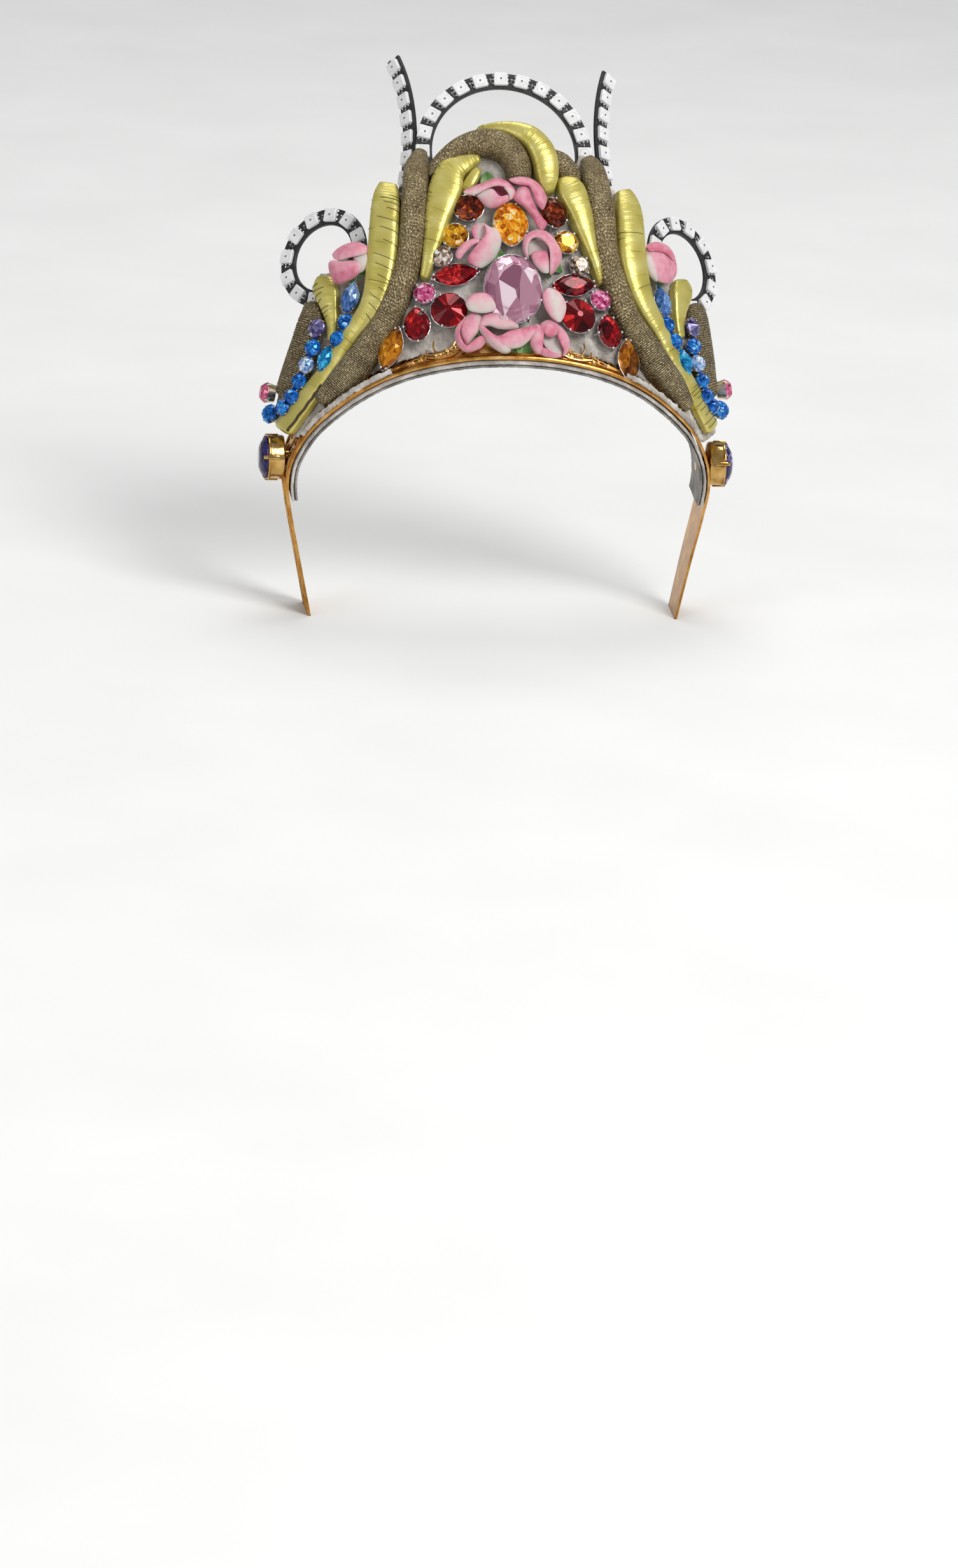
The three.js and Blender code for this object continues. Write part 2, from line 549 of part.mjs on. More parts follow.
// A flat curved circuit board with square lamps soldered on its front, in its own X-Y plane about (0, 0)
function lampBoard({ radius, from, to, lamps, flush = 1 }) {
  const outer = radius + (flush > 0 ? BOARD.beside : BOARD.beyond);
  const inner = radius - (flush > 0 ? BOARD.beyond : BOARD.beside);
  const [start, end] = [degToRad(from), degToRad(to)];
  const shape = new THREE.Shape();
  shape.absarc(0, 0, outer, start, end, false);
  if (to - from >= 360) shape.holes.push(new THREE.Path().absarc(0, 0, inner, end, start, true));
  else shape.absarc(0, 0, inner, end, start, true);
  const board = new THREE.ExtrudeGeometry(shape, {
    depth: BOARD.thick,
    bevelEnabled: false,
    curveSegments: Math.ceil((end - start) / BOARD_SEGMENT),
  });
  const solids = [solidOf(board)];
  for (const angle of lamps) {
    const lamp = new THREE.BoxGeometry(LAMP.side, LAMP.side, LAMP.tall + SOLDER);
    lamp.translate(radius, 0, BOARD.thick + (LAMP.tall - SOLDER) / 2);
    lamp.rotateZ(degToRad(angle));
    solids.push(solidOf(lamp));
  }
  return joined(solids);
}

function steps(first, last, by) {
  return Array.from({ length: Math.round((last - first) / by) + 1 }, (_, i) => first + i * by);
}

const LAMP_BOARDS = [
  { name: 'lamp_arch', radius: 29.6, from: -16, to: 196, lamps: steps(0, 180, 15),
    at: [1.8, 45.5, 73.1], lean: 24 },
  { name: 'lamp_ring_left', radius: 16, from: 0, to: 360, lamps: steps(0, 330, 30),
    at: [-62.1, 49.8, 34.7], lean: 17, face: -42 },
  { name: 'lamp_ring_right', radius: 16, from: 0, to: 360, lamps: steps(0, 330, 30),
    at: [68.5, 52.9, 33.8], lean: 17, face: 42 },
  { name: 'lamp_horn_left', radius: 74, from: -18, to: 25, lamps: steps(-13.8, 22.2, 6), flush: -1,
    at: [-31.4, 52.7, 80.5], lean: 24, swing: -50, pivot: -74 },
  { name: 'lamp_horn_right', radius: 74, from: 156.5, to: 198, lamps: steps(159, 195, 6), flush: -1,
    at: [37.8, 50.2, 77.5], lean: 24, swing: 40, pivot: 74 },
];

function lampFrame({ at, lean, face = 0, swing = 0, pivot = 0 }) {
  const upright = new THREE.Matrix4().makeRotationX(degToRad(90 - lean));
  const faced = new THREE.Matrix4().makeRotationZ(degToRad(face));
  const swung = new THREE.Matrix4().makeRotationY(degToRad(swing));
  const centre = new THREE.Matrix4().makeTranslation(pivot, 0, 0);
  return new THREE.Matrix4().makeTranslation(...at)
    .multiply(faced).multiply(upright).multiply(swung).multiply(centre);
}

// ---------------------------------------------------------------- the assembly

const FINISH = {
  gilt: { color: 0xc98a45, roughness: 0.3, metalness: 1 },
  lining: { color: 0x6a6660, roughness: 0.8, metalness: 0.2 },
  felt: { color: 0xa79d92, roughness: 1, metalness: 0 },
  bronze: { color: 0x6b5a3c, roughness: 0.6, metalness: 0.5 },
  foil: { color: 0xc9bd5a, roughness: 0.25, metalness: 0.8 },
  board: { color: 0xe8e8e6, roughness: 0.5, metalness: 0 },
  petal: { color: 0xe3a0aa, roughness: 0.7, metalness: 0 },
};

const worn = new THREE.Group();
const rooms = [];                   // the room each piece takes up, its gap included

function meets(a, b) {
  const [boxA, boxB] = [a.boundingBox(), b.boundingBox()];
  return [0, 1, 2].every((axis) => boxA.min[axis] < boxB.max[axis] && boxB.min[axis] < boxA.max[axis]);
}

// Puts a piece in the tiara: its largest body, where a cut has left crumbs
function place(name, finish, solid) {
  const bodies = solid.decompose().sort((a, b) => b.volume() - a.volume());
  const material = new THREE.MeshStandardMaterial(FINISH[finish] ?? { color: finish, roughness: 0.1 });
  const mesh = new THREE.Mesh(geometryOf(bodies[0]), material);
  mesh.name = name;
  worn.add(mesh);
}

// Adds a piece, cut back from the band and wherever a piece already in place, grown by the gap, reaches into it
function add(name, finish, make) {
  let solid = make(0).subtract(bandRoom);
  for (const room of rooms) {
    if (meets(solid, room)) solid = solid.subtract(room);
  }
  place(name, finish, solid);
  rooms.push(make(GAP));
}

const SIDES = [{ word: 'left', sign: -1 }, { word: 'right', sign: 1 }];

for (const stone of STONES) {
  add(stone.name, stone.colour, (grow) => setStone(stone, grow));
}
for (const side of SIDES) {
  for (const row of SIDE_ROWS) {
    add(`${row.name}_${side.word}`, row.colour, (grow) => stoneRow(row, side, grow));
  }
  add(`stone_side_${side.word}`, 0xd98aa0, (grow) => setStone(onSide(SIDE_STONE, side), grow));
  add(`bezel_cup_${side.word}`, 'gilt', (grow) => bezelCup(side, grow));
  add(`bezel_stone_${side.word}`, 0x3b2a7a, (grow) => bezelStone(side, grow));
}
for (const { name, finish, rows } of SCROLLS) {
  add(name, finish, (grow) => scroll(rows, grow));
}
for (const side of SIDES) {
  for (const { name, finish, rows } of PAIRED_SCROLLS) {
    add(`${name}_${side.word}`, finish, (grow) => scroll(rows.map((row) => onSide(row, side)), grow));
  }
}
for (const bloom of ROSES) {
  add(bloom.name, 'petal', (grow) => rose(bloom, grow));
}
for (const side of SIDES) {
  add(`rose_side_${side.word}`, 'petal', (grow) => rose(onSide(SIDE_ROSE, side), grow));
}
place('felt_panel', 'felt', feltPanel());
for (const board of LAMP_BOARDS) {
  place(board.name, 'board', lampBoard(board).transform(lampFrame(board).elements));
}
place('lining', 'lining', bandStrip({
  from: Math.round(BAND_STEPS * LINING_ENDS),
  to: Math.round(BAND_STEPS * (1 - LINING_ENDS)),
  outer: -BAND_THICK - GAP,
  inner: -BAND_THICK - GAP - LINING_THICK,
  front: -LINING_PROUD,
}));
place('band', 'gilt', bandStrip({ outer: 0, inner: -BAND_THICK }).subtract(underFeet()));

// Leaned back, and set down with the origin under the middle of the box
const leaned = new THREE.Group();
leaned.rotation.x = -REST_LEAN;
leaned.add(worn);
const tiara = new THREE.Group();
tiara.name = 'tiara_headband';
tiara.add(leaned);
const box = new THREE.Box3().setFromObject(tiara, true);
const middle = box.getCenter(new THREE.Vector3());
leaned.position.set(-middle.x, -middle.y, -box.min.z);

export default tiara;
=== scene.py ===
"""A jewelled tiara headband: a felt crown with padded scrolls, crystals, roses and lamps on a gilt band.

Every piece is laid out as the tiara is worn, in millimetres: X to the wearer's left, Y to the back of the
head, Z up, with zero at the top of the band's front edge. settle() then puts it where it stands.
"""
import math
import random
from contextlib import contextmanager

import bpy
from mathutils import Matrix, Vector, noise


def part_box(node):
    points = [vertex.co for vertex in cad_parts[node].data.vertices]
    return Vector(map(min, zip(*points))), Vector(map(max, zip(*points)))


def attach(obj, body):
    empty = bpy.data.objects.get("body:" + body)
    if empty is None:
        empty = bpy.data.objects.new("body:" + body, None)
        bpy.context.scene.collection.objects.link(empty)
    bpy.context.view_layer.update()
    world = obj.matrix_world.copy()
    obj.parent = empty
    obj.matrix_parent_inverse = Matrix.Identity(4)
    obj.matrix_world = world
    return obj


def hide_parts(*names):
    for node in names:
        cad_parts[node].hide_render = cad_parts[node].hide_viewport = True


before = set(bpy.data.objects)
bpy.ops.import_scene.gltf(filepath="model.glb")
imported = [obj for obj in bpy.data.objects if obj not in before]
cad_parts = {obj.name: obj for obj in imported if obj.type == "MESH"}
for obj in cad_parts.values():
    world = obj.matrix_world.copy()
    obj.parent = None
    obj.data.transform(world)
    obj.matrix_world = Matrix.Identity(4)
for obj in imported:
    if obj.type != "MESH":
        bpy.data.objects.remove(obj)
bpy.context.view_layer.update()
bpy.ops.object.select_all(action="DESELECT")


# ---------------------------------------------------------------- the gilt band
# A springy brass strip bent over the head and gilded in rose gold. Curled wire is soldered on its face
# between two rim wires. Its ends are cut level, and the tiara leans back and stands on them.

MM = 0.001
LEAN = math.radians(14.5)
BACK_EDGE_TOP = Vector((0, 22.09, 9.38))   # the highest point of the band as it stands
BAND_EDGE = (                              # its front edge, from the top down one side
    (0, 0, 0), (18, 1.2, -1.1), (37, 4, -5.3), (53, 8.6, -12.8), (67.7, 16.5, -24.6),
    (75, 24, -36), (77, 29, -46), (75.5, 33, -57), (71.8, 37, -74), (66, 41, -101),
)
BAND_WIDTH = {"top": 24, "end": 17}
BAND_PITCH = {"top": math.radians(23), "end": math.radians(6)}
BAND_STEPS = 240


def linear(code):
    """An sRGB hex colour as linear red, green, blue and alpha."""
    parts = [int(code[i:i + 2], 16) / 255 for i in (1, 3, 5)]
    return [p / 12.92 if p <= 0.04045 else ((p + 0.055) / 1.055) ** 2.4 for p in parts] + [1.0]


MAIN_OUTPUT = {                            # what each kind of shader node is read for
    "TexCoord": "Object", "UVMap": "UV", "Attribute": "Fac", "Mapping": "Vector", "TexNoise": "Fac",
    "TexWave": "Fac", "TexVoronoi": "Color", "SeparateXYZ": "Y", "SeparateColor": "Red",
    "Math": "Value", "MapRange": "Result", "ValToRGB": "Color", "Bump": "Normal",
}


class Finish:
    """A material and the shader nodes added to it. Inputs are named with _ for a space."""

    def __init__(self, name, colour, roughness, metallic=0.0, place="TexCoord", **others):
        self.material = bpy.data.materials.new(name)
        self.material.use_nodes = True
        self.tree = self.material.node_tree
        self.shader = self.tree.nodes["Principled BSDF"]
        self.feed(Base_Color=linear(colour), Roughness=roughness, Metallic=metallic, **others)
        self.place = self.add(place)

    def fill(self, node, inputs):
        """Gives a node its values or links by input."""
        for name, value in inputs.items():
            socket = node.inputs[name if isinstance(name, int) else name.replace("_", " ")]
            if isinstance(value, bpy.types.NodeSocket):
                self.tree.links.new(value, socket)
            else:
                socket.default_value = value

    def feed(self, **inputs):
        """Gives the shader its inputs, and returns the material."""
        self.fill(self.shader, inputs)
        return self.material

    def add(self, kind, inputs=None, stops=(), **settings):
        """Adds a node, with a ramp's stops, and returns the output it is read for."""
        node = self.tree.nodes.new("ShaderNode" + kind)
        for name, value in settings.items():
            setattr(node, name, value)
        self.fill(node, inputs or {})
        for count, (place, colour) in enumerate(stops):
            ramp = node.color_ramp.elements
            stop = ramp[count] if count < 2 else ramp.new(place)
            stop.position = place
            stop.color = linear(colour)
        return node.outputs[MAIN_OUTPUT[kind]]

    def clouds(self, scale, **inputs):
        return self.add("TexNoise", {"Vector": self.place, "Scale": scale, **inputs})

    def waves(self, pitch, **inputs):
        """Bands across the strip, one to each pitch in millimetres."""
        scale = math.pi / 10 / pitch
        return self.add("TexWave", {"Vector": self.place, "Scale": scale, **inputs}, bands_direction="Y")

    def ramp(self, level, *stops):
        return self.add("ValToRGB", {"Fac": level}, stops)

    def span(self, level, low, high, start=0.0, end=1.0):
        """A level from low to high, as a value from start to end."""
        return self.add("MapRange", {"Value": level, "From Min": low, "From Max": high,
                                     "To Min": start, "To Max": end})

    def work(self, operation, *values):
        return self.add("Math", dict(enumerate(values)), operation=operation)

    def bump(self, height, strength, deep):
        return self.add("Bump", {"Height": height, "Strength": strength, "Distance": deep * MM})


def grain(size):
    """The scale of a noise whose patches are so many millimetres wide."""
    return 1 / (size * MM)


def mottled(name, colour, roughness, metallic, size, *stops, shine=(), dents=(), **noisy):
    """A material whose colour, roughness or surface wanders in patches of so many millimetres."""
    finish = Finish(name, colour, roughness, metallic)
    patches = finish.clouds(grain(size), **noisy)
    if stops:
        finish.feed(Base_Color=finish.ramp(patches, *stops))
    if shine:
        finish.feed(Roughness=finish.span(patches, 0, 1, *shine))
    if dents:
        finish.feed(Normal=finish.bump(patches, *dents))
    return finish.material


def named(name, *materials):
    """Names the piece just added, and gives it its materials."""
    piece = bpy.context.object
    piece.name = name
    piece.data.name = name
    for material in materials:
        piece.data.materials.append(material)
    return piece


def apply(piece, kind, **settings):
    """Adds a modifier to a piece and applies it."""
    bpy.context.view_layer.objects.active = piece
    modifier = piece.modifiers.new(kind.lower(), kind)
    for name, value in settings.items():
        setattr(modifier, name, value)
    bpy.ops.object.modifier_apply(modifier=modifier.name)


def pick(*pieces):
    """Picks these pieces and no others, and works on the first."""
    bpy.ops.object.select_all(action="DESELECT")
    for piece in pieces:
        piece.select_set(True)
    bpy.context.view_layer.objects.active = pieces[0]


@contextmanager
def editing():
    """Edit mode on the piece at hand, with all of it picked."""
    bpy.ops.object.mode_set(mode="EDIT")
    bpy.ops.mesh.select_all(action="SELECT")
    yield
    bpy.ops.object.mode_set(mode="OBJECT")


def extrude(rise, wide=None, across=0.0):
    """Carries what is picked up by rise, and widens it about the middle."""
    bpy.ops.mesh.extrude_region_move(TRANSFORM_OT_translate={"value": (across, 0, rise)})
    if wide is not None:
        bpy.ops.transform.resize(value=(wide, wide, 1), center_override=(0, 0, 0))


def outward(piece, merge=1e-4):
    """Merges a piece's doubled points and turns its faces outward."""
    pick(piece)
    with editing():
        bpy.ops.mesh.remove_doubles(threshold=merge)
        bpy.ops.mesh.normals_make_consistent(inside=False)


def smooth(piece, degrees=180):
    pick(piece)
    bpy.ops.object.shade_smooth_by_angle(angle=math.radians(degrees))


def roughen(piece, unit, *swells):
    """Moves a piece's points in and out by soft swells, each of a height and a width."""
    outs = [vertex.normal.copy() for vertex in piece.data.vertices]
    for vertex, out in zip(piece.data.vertices, outs):
        moved = sum(high * noise.noise(vertex.co / (wide * unit)) for high, wide in swells)
        vertex.co += out * moved * unit


def joined(name, pieces):
    """Several pieces as one, which keeps their materials."""
    pick(*pieces)
    if len(pieces) > 1:
        bpy.ops.object.join()
    pieces[0].name = name
    pieces[0].data.name = name
    return pieces[0]


def rest_matrix():
    """From the worn frame in millimetres to where the tiara stands, in metres."""
    low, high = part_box("band")
    turn = Matrix.Rotation(-LEAN, 4, "X")
    top = high.z - (turn @ BACK_EDGE_TOP).z * MM
    corner = Vector(((low.x + high.x) / 2, low.y, top))
    return Matrix.Translation(corner) @ turn @ Matrix.Scale(MM, 4)


REST = rest_matrix()


def settle(piece, finish, *replaced):
    """Puts a finished piece where it stands, with its place in its mesh, and ties it to the frame."""
    piece.data.transform(piece.matrix_world)
    piece.matrix_world = Matrix.Identity(4)
    piece.data.transform(REST)
    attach(piece, "root")
    if replaced:
        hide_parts(*replaced)
    return piece


def along_rows(rows, share):
    """The values at a share of the way down a table of rows, on a smooth line through them."""
    place = min(max(share, 0), 1) * (len(rows) - 1)
    row = min(int(place), len(rows) - 2)
    t = place - row
    near = [rows[min(max(row + step, 0), len(rows) - 1)] for step in (-1, 0, 1, 2)]
    return [
        (2 * b + (c - a) * t + (2 * a - 5 * b + 4 * c - d) * t ** 2 + (3 * b - a - 3 * c + d) * t ** 3) / 2
        for a, b, c, d in zip(*near)
    ]


def band_stations():
    """Points along the front edge an equal distance apart, with the ways along, back and out."""
    rows = [(-x, y, z) for x, y, z in reversed(BAND_EDGE[1:])] + list(BAND_EDGE)
    fine = [Vector(along_rows(rows, i / 2000)) for i in range(2001)]
    walked = [0]
    for here, there in zip(fine, fine[1:]):
        walked.append(walked[-1] + (there - here).length)
    stations = []
    i = 0
    for step in range(BAND_STEPS + 1):
        share = step / BAND_STEPS
        while i < 2000 and walked[i] < share * walked[-1]:
            i += 1
        along = (fine[min(i + 1, 2000)] - fine[max(i - 1, 0)]).normalized()
        lift = math.sin(math.pi * share)
        pitch = BAND_PITCH["end"] + (BAND_PITCH["top"] - BAND_PITCH["end"]) * lift
        back = Vector((0, math.cos(pitch), math.sin(pitch)))
        back = (back - along * back.dot(along)).normalized()
        width = BAND_WIDTH["end"] + (BAND_WIDTH["top"] - BAND_WIDTH["end"]) * lift
        stations.append((fine[i], back, along.cross(back).normalized(), width))
    return stations, walked[-1]


STATIONS, BAND_LENGTH = band_stations()


def on_band(share, across, out):
    """A point of the band: a share of the way along it, a share of its width back, and out of its face."""
    place = min(max(share, 0), 1) * BAND_STEPS
    i = min(int(place), BAND_STEPS - 1)
    t = place - i
    ends = [at + back * (across * width) + face * out for at, back, face, width in STATIONS[i:i + 2]]
    return ends[0].lerp(ends[1], t)


def stand_on_floor(piece):
    """Cuts a settled piece level with the floor, and closes the cut."""
    pick(piece)
    with editing():
        bpy.ops.mesh.bisect(plane_co=(0, 0, 0), plane_no=(0, 0, 1), clear_inner=True, use_fill=True)


def wire(name, runs, gauge, material, sides=1):
    """Round wires, one along each run of points, as one piece."""
    curve = bpy.data.curves.new(name, "CURVE")
    curve.dimensions = "3D"
    curve.bevel_depth = gauge / 2
    curve.bevel_resolution = sides
    curve.use_fill_caps = True
    for run in runs:
        line = curve.splines.new("POLY")
        line.points.add(len(run) - 1)
        for point, at in zip(line.points, run):
            point.co = (*at, 1)
    drawn = bpy.data.objects.new(name, curve)
    bpy.context.collection.objects.link(drawn)
    pick(drawn)
    bpy.ops.object.convert(target="MESH")
    piece = named(name, material)
    outward(piece)
    smooth(piece, 50)
    return piece


# Rose gold over brass: warm and mirror-like on the wires, and a little duller where it is handled.
gilt = mottled("gilt_brass", "#c98a45", 0.27, 1.0, 5, (0.3, "#9a672c"), (0.5, "#bd8844"), (0.75, "#dfb673"),
               shine=(0.16, 0.4), dents=(0.25, 0.4), Detail=4)

bpy.ops.mesh.primitive_grid_add(x_subdivisions=BAND_STEPS, y_subdivisions=6, size=1)
strip = named("band_strip", gilt)
for vertex in strip.data.vertices:
    share, across = vertex.co.x + 0.5, vertex.co.y + 0.5
    vertex.co = on_band(share, across, -0.45)
apply(strip, "SOLIDIFY", thickness=0.75, offset=0)
outward(strip)
smooth(strip, 40)
settle(strip, "gilt_metal", "band")
stand_on_floor(strip)

RIM_WIRE = 0.95
INNER_WIRE = 0.5
CURL_WIRE = 0.42
CURL_PITCH = 7.4                           # one pair of curls to this length of band


def rim(across, out):
    return [on_band(i / BAND_STEPS, across, out) for i in range(BAND_STEPS + 1)]


def curl(share, across, size, hand, turns=1.35, start=0.0):
    """A flat curl of wire on the face, wound in from its outside."""
    run = []
    for step in range(17):
        way = step / 16
        radius = size * (1 - 0.78 * way)
        angle = start + hand * turns * 2 * math.pi * way
        run.append(on_band(share + radius * math.cos(angle) / BAND_LENGTH,
                           across + radius * math.sin(angle) / 22, 0.15))
    return run


rims = wire("band_rims", [rim(0.02, -0.25), rim(0.98, -0.25)], RIM_WIRE, gilt)
inner = wire("band_inner_wires", [rim(0.14, 0.1), rim(0.5, 0.1), rim(0.86, 0.1)], INNER_WIRE, gilt, 0)
curls = []
pairs = int(BAND_LENGTH / CURL_PITCH)
for pair in range(pairs):
    share = (pair + 0.5) / pairs
    hand = 1 if pair % 2 else -1
    for across in (0.32, 0.68):
        side = 1 if across > 0.5 else -1
        curls.append(curl(share, across, 3.0, hand * side, start=-side * math.pi / 2))
        curls.append(curl(share + 0.5 / pairs, across + side * 0.09, 1.3, -hand, 1.1))
lace = wire("band_curls", curls, CURL_WIRE, gilt, 0)
wires = joined("band_lace", [rims, inner, lace])
settle(wires, "gilt_metal")
stand_on_floor(wires)


# ---------------------------------------------------------------- the lining
# Three layers of cloth tape are sewn under the band where it rests on the head. A pale grey wool felt
# lies against the metal and shows in front of it, over a dark webbing and a grey cotton tape.

LINED = (0.155, 0.845)                     # the share of the band that is lined
LINING_LAYERS = (
    {"name": "lining_felt", "out": -1.55, "thick": 0.9, "front": -1.0, "back": 0.0},
    {"name": "lining_webbing", "out": -2.45, "thick": 0.5, "front": -0.2, "back": -0.4},
    {"name": "lining_tape", "out": -2.95, "thick": 0.8, "front": -0.7, "back": 0.0},
)


def cloth(name, dark, mid, pale, fibre):
    """Short matted fibres, seen as soft specks and a fuzzy edge. fibre is their spacing in millimetres."""
    finish = Finish(name, mid, 0.95, Sheen_Weight=0.35, Sheen_Roughness=0.6)
    hairs = finish.clouds(grain(fibre), Detail=5, Roughness=0.65, Distortion=1.5)
    patches = finish.clouds(grain(6), Detail=2)
    shade = finish.span(finish.work("ADD", hairs, patches), 0.7, 1.3)
    return finish.feed(Base_Color=finish.ramp(shade, (0.1, dark), (0.5, mid), (0.9, pale)),
                       Normal=finish.bump(hairs, 0.8, 0.4))


# Wool felt, undyed grey: matt, with pale loose hairs over a darker mat.
grey_felt = cloth("grey_wool_felt", "#8e867c", "#bab2a8", "#e6e1da", 0.5)
# Polyester webbing: near black, with a dull grey bloom on the threads.
dark_webbing = cloth("dark_webbing", "#1f1c19", "#37322d", "#5a544c", 0.6)
# Cotton tape: mid grey with paler threads.
grey_tape = cloth("grey_cotton_tape", "#57524c", "#85807a", "#aba69e", 0.4)

layers = []
for layer, material in zip(LINING_LAYERS, (grey_felt, dark_webbing, grey_tape)):
    bpy.ops.mesh.primitive_grid_add(x_subdivisions=220, y_subdivisions=4, size=1)
    tape = named(layer["name"], material)
    for vertex in tape.data.vertices:
        share = LINED[0] + (vertex.co.x + 0.5) * (LINED[1] - LINED[0])
        across = (layer["front"] + (vertex.co.y + 0.5) * (24 + layer["back"] - layer["front"])) / 24
        fuzz = 0.18 * noise.noise(Vector((share * 260, across * 9, layer["out"])))
        vertex.co = on_band(share, across, layer["out"] - layer["thick"] / 2 + fuzz)
    apply(tape, "SOLIDIFY", thickness=layer["thick"], offset=0)
    apply(tape, "BEVEL", width=0.28, segments=2, limit_method="ANGLE")
    outward(tape)
    smooth(tape)
    layers.append(tape)
settle(joined("lining_tapes", layers), "lining", "lining")


# ---------------------------------------------------------------- the felt crown
# A thick sheet of grey wool felt, cut to the outline of the crown and stitched to the band. It carries
# every scroll, stone and rose, and its soft cut edge shows beside them.

crown = bpy.data.objects.new("felt_crown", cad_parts["felt_panel"].data.copy())
bpy.context.collection.objects.link(crown)
crown.data.materials.clear()
crown.data.materials.append(grey_felt)
outward(crown, 1e-6)
apply(crown, "REMESH", mode="VOXEL", voxel_size=0.7 * MM)
apply(crown, "SMOOTH", factor=0.5, iterations=2)
roughen(crown, MM, (0.35, 1.4), (0.2, 0.7))
smooth(crown)
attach(crown, "root")
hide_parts("felt_panel")


# ---------------------------------------------------------------- the padded scrolls
# Strips of cloth are drawn over a core of padding and stitched down on the felt, with a rounded front
# and a flat back. Some are bronze lurex, others a yellow gold foil cloth that creases across the strip.

FACE_HALF_WIDTH = 88
FACE_DEPTH = 60
FACE_LEAN = 0.40
FACE_FORWARD = -0.8
BACK = -5.5                                # the backs of the pieces on the felt, from the face layer


def face_at(x, z):
    """The point of the crown's face layer at x and z, with the ways right, up and out of it."""
    sine = min(max(x / FACE_HALF_WIDTH, -0.985), 0.985)
    cosine = math.sqrt(1 - sine * sine)
    slope = FACE_DEPTH / FACE_HALF_WIDTH * sine / cosine
    at = Vector((x, FACE_DEPTH * (1 - cosine) + FACE_LEAN * z + FACE_FORWARD, z))
    out = Vector((slope, -1, FACE_LEAN)).normalized()
    right = Vector((1, slope, 0)).normalized()
    return at, right, out.cross(right), out


def face_point(x, z, proud):
    at, right, up, out = face_at(x, z)
    return at + out * proud


def strip_rows(rows, sign=1):
    return [(sign * x, z, width, height) for x, z, width, height in rows]


DRAWN_OVER = 1.1                           # how much wider the cloth is than the padding in it


def strip_point(rows, share, angle, lift=0.0, flat=0.8):
    """A point on a padded strip: angle 0 and pi are its two edges, between them its rounded front."""
    x, z, width, height = along_rows(rows, share)
    ahead, behind = along_rows(rows, share + 0.01), along_rows(rows, share - 0.01)
    way = Vector((ahead[0] - behind[0], ahead[1] - behind[1])).normalized()
    across = ((width + DRAWN_OVER) / 2 + lift) * math.cos(angle)
    proud = BACK + (height + lift) * max(math.sin(angle), 0) ** flat + 0.25 * min(math.sin(angle), 0)
    return face_point(x - way.y * across, z + way.x * across, proud)


def strip_length(rows):
    return sum(math.dist(a[:2], b[:2]) for a, b in zip(rows, rows[1:]))


AROUND = 28


def padded_strip(name, rows, material, pucker, flat, step=1.1):
    """A padded strip along rows of x, z, width and height. pucker gives how far a spot sinks."""
    length = strip_length(rows)
    cuts = int(length / step)
    bpy.ops.mesh.primitive_cylinder_add(vertices=AROUND, radius=1, depth=1, end_fill_type="TRIFAN")
    strip = named(name, material)
    bpy.ops.object.mode_set(mode="EDIT")
    bpy.ops.mesh.select_mode(type="EDGE")
    bpy.ops.mesh.select_all(action="DESELECT")
    bpy.ops.object.mode_set(mode="OBJECT")
    points = strip.data.vertices
    for edge in strip.data.edges:
        edge.select = abs(points[edge.vertices[0]].co.z - points[edge.vertices[1]].co.z) > 0.5
    bpy.ops.object.mode_set(mode="EDIT")
    bpy.ops.mesh.subdivide(number_cuts=cuts)
    bpy.ops.object.mode_set(mode="OBJECT")
    chart = strip.data.uv_layers.active
    angles = []
    for vertex in points:
        centre = math.hypot(vertex.co.x, vertex.co.y) < 0.5
        angle = math.pi / 2 if centre else math.atan2(vertex.co.y, vertex.co.x)
        if angle < -math.pi / 2:
            angle += 2 * math.pi
        share = vertex.co.z + 0.5
        x, z, width, height = along_rows(rows, share)
        end = min(share, 1 - share) * length / max(width / 3, 0.5)
        rounding = math.sqrt(max(1 - max(1 - end, 0) ** 2, 0.0)) if end < 1 else 1
        shut = 0.35 + 0.65 * rounding
        if centre:
            vertex.co = face_point(x, z, BACK + height * shut * 0.4)
        else:
            spot = strip_point(rows, share, angle, 0, flat)
            middle = face_point(x, z, BACK)
            _, _, _, out = face_at(x, z)
            front = max(math.sin(angle), 0)
            sink = pucker(share * length, angle, length) * min(front * 3, 1)
            vertex.co = middle.lerp(spot, shut) - out * sink
        angles.append((angle, share, width))
    for face in strip.data.polygons:
        for loop in face.loop_indices:
            angle, share, width = angles[strip.data.loops[loop].vertex_index]
            chart.data[loop].uv = ((angle - math.pi / 2) * width * 0.45, share * length)
    outward(strip)
    apply(strip, "SUBSURF", levels=1, render_levels=1)
    smooth(strip)
    return strip


def even_pad(walked, angle, length):
    """Lurex over soft padding: slow swells, and a fine ripple where it is drawn over the edge."""
    edge = abs(math.cos(angle)) ** 6
    return 0.18 * noise.noise(Vector((walked / 9, angle, 1))) + 0.12 * edge * math.sin(walked * 2.6)


def creased_pad(walked, angle, length):
    """Foil cloth: sharp creases run in from stitches along both edges and fade over the crown."""
    edge = abs(math.cos(angle)) ** 2
    beat = walked + 0.8 * noise.noise(Vector((walked / 4, angle * 0.7, 3)))
    crease = abs(math.sin(beat * math.pi / 2.9 + (0.9 if angle > math.pi / 2 else 0))) ** 0.6
    return 0.28 * edge * (1 - crease) + 0.08 * noise.noise(Vector((walked / 1.7, angle * 0.8, 5)))


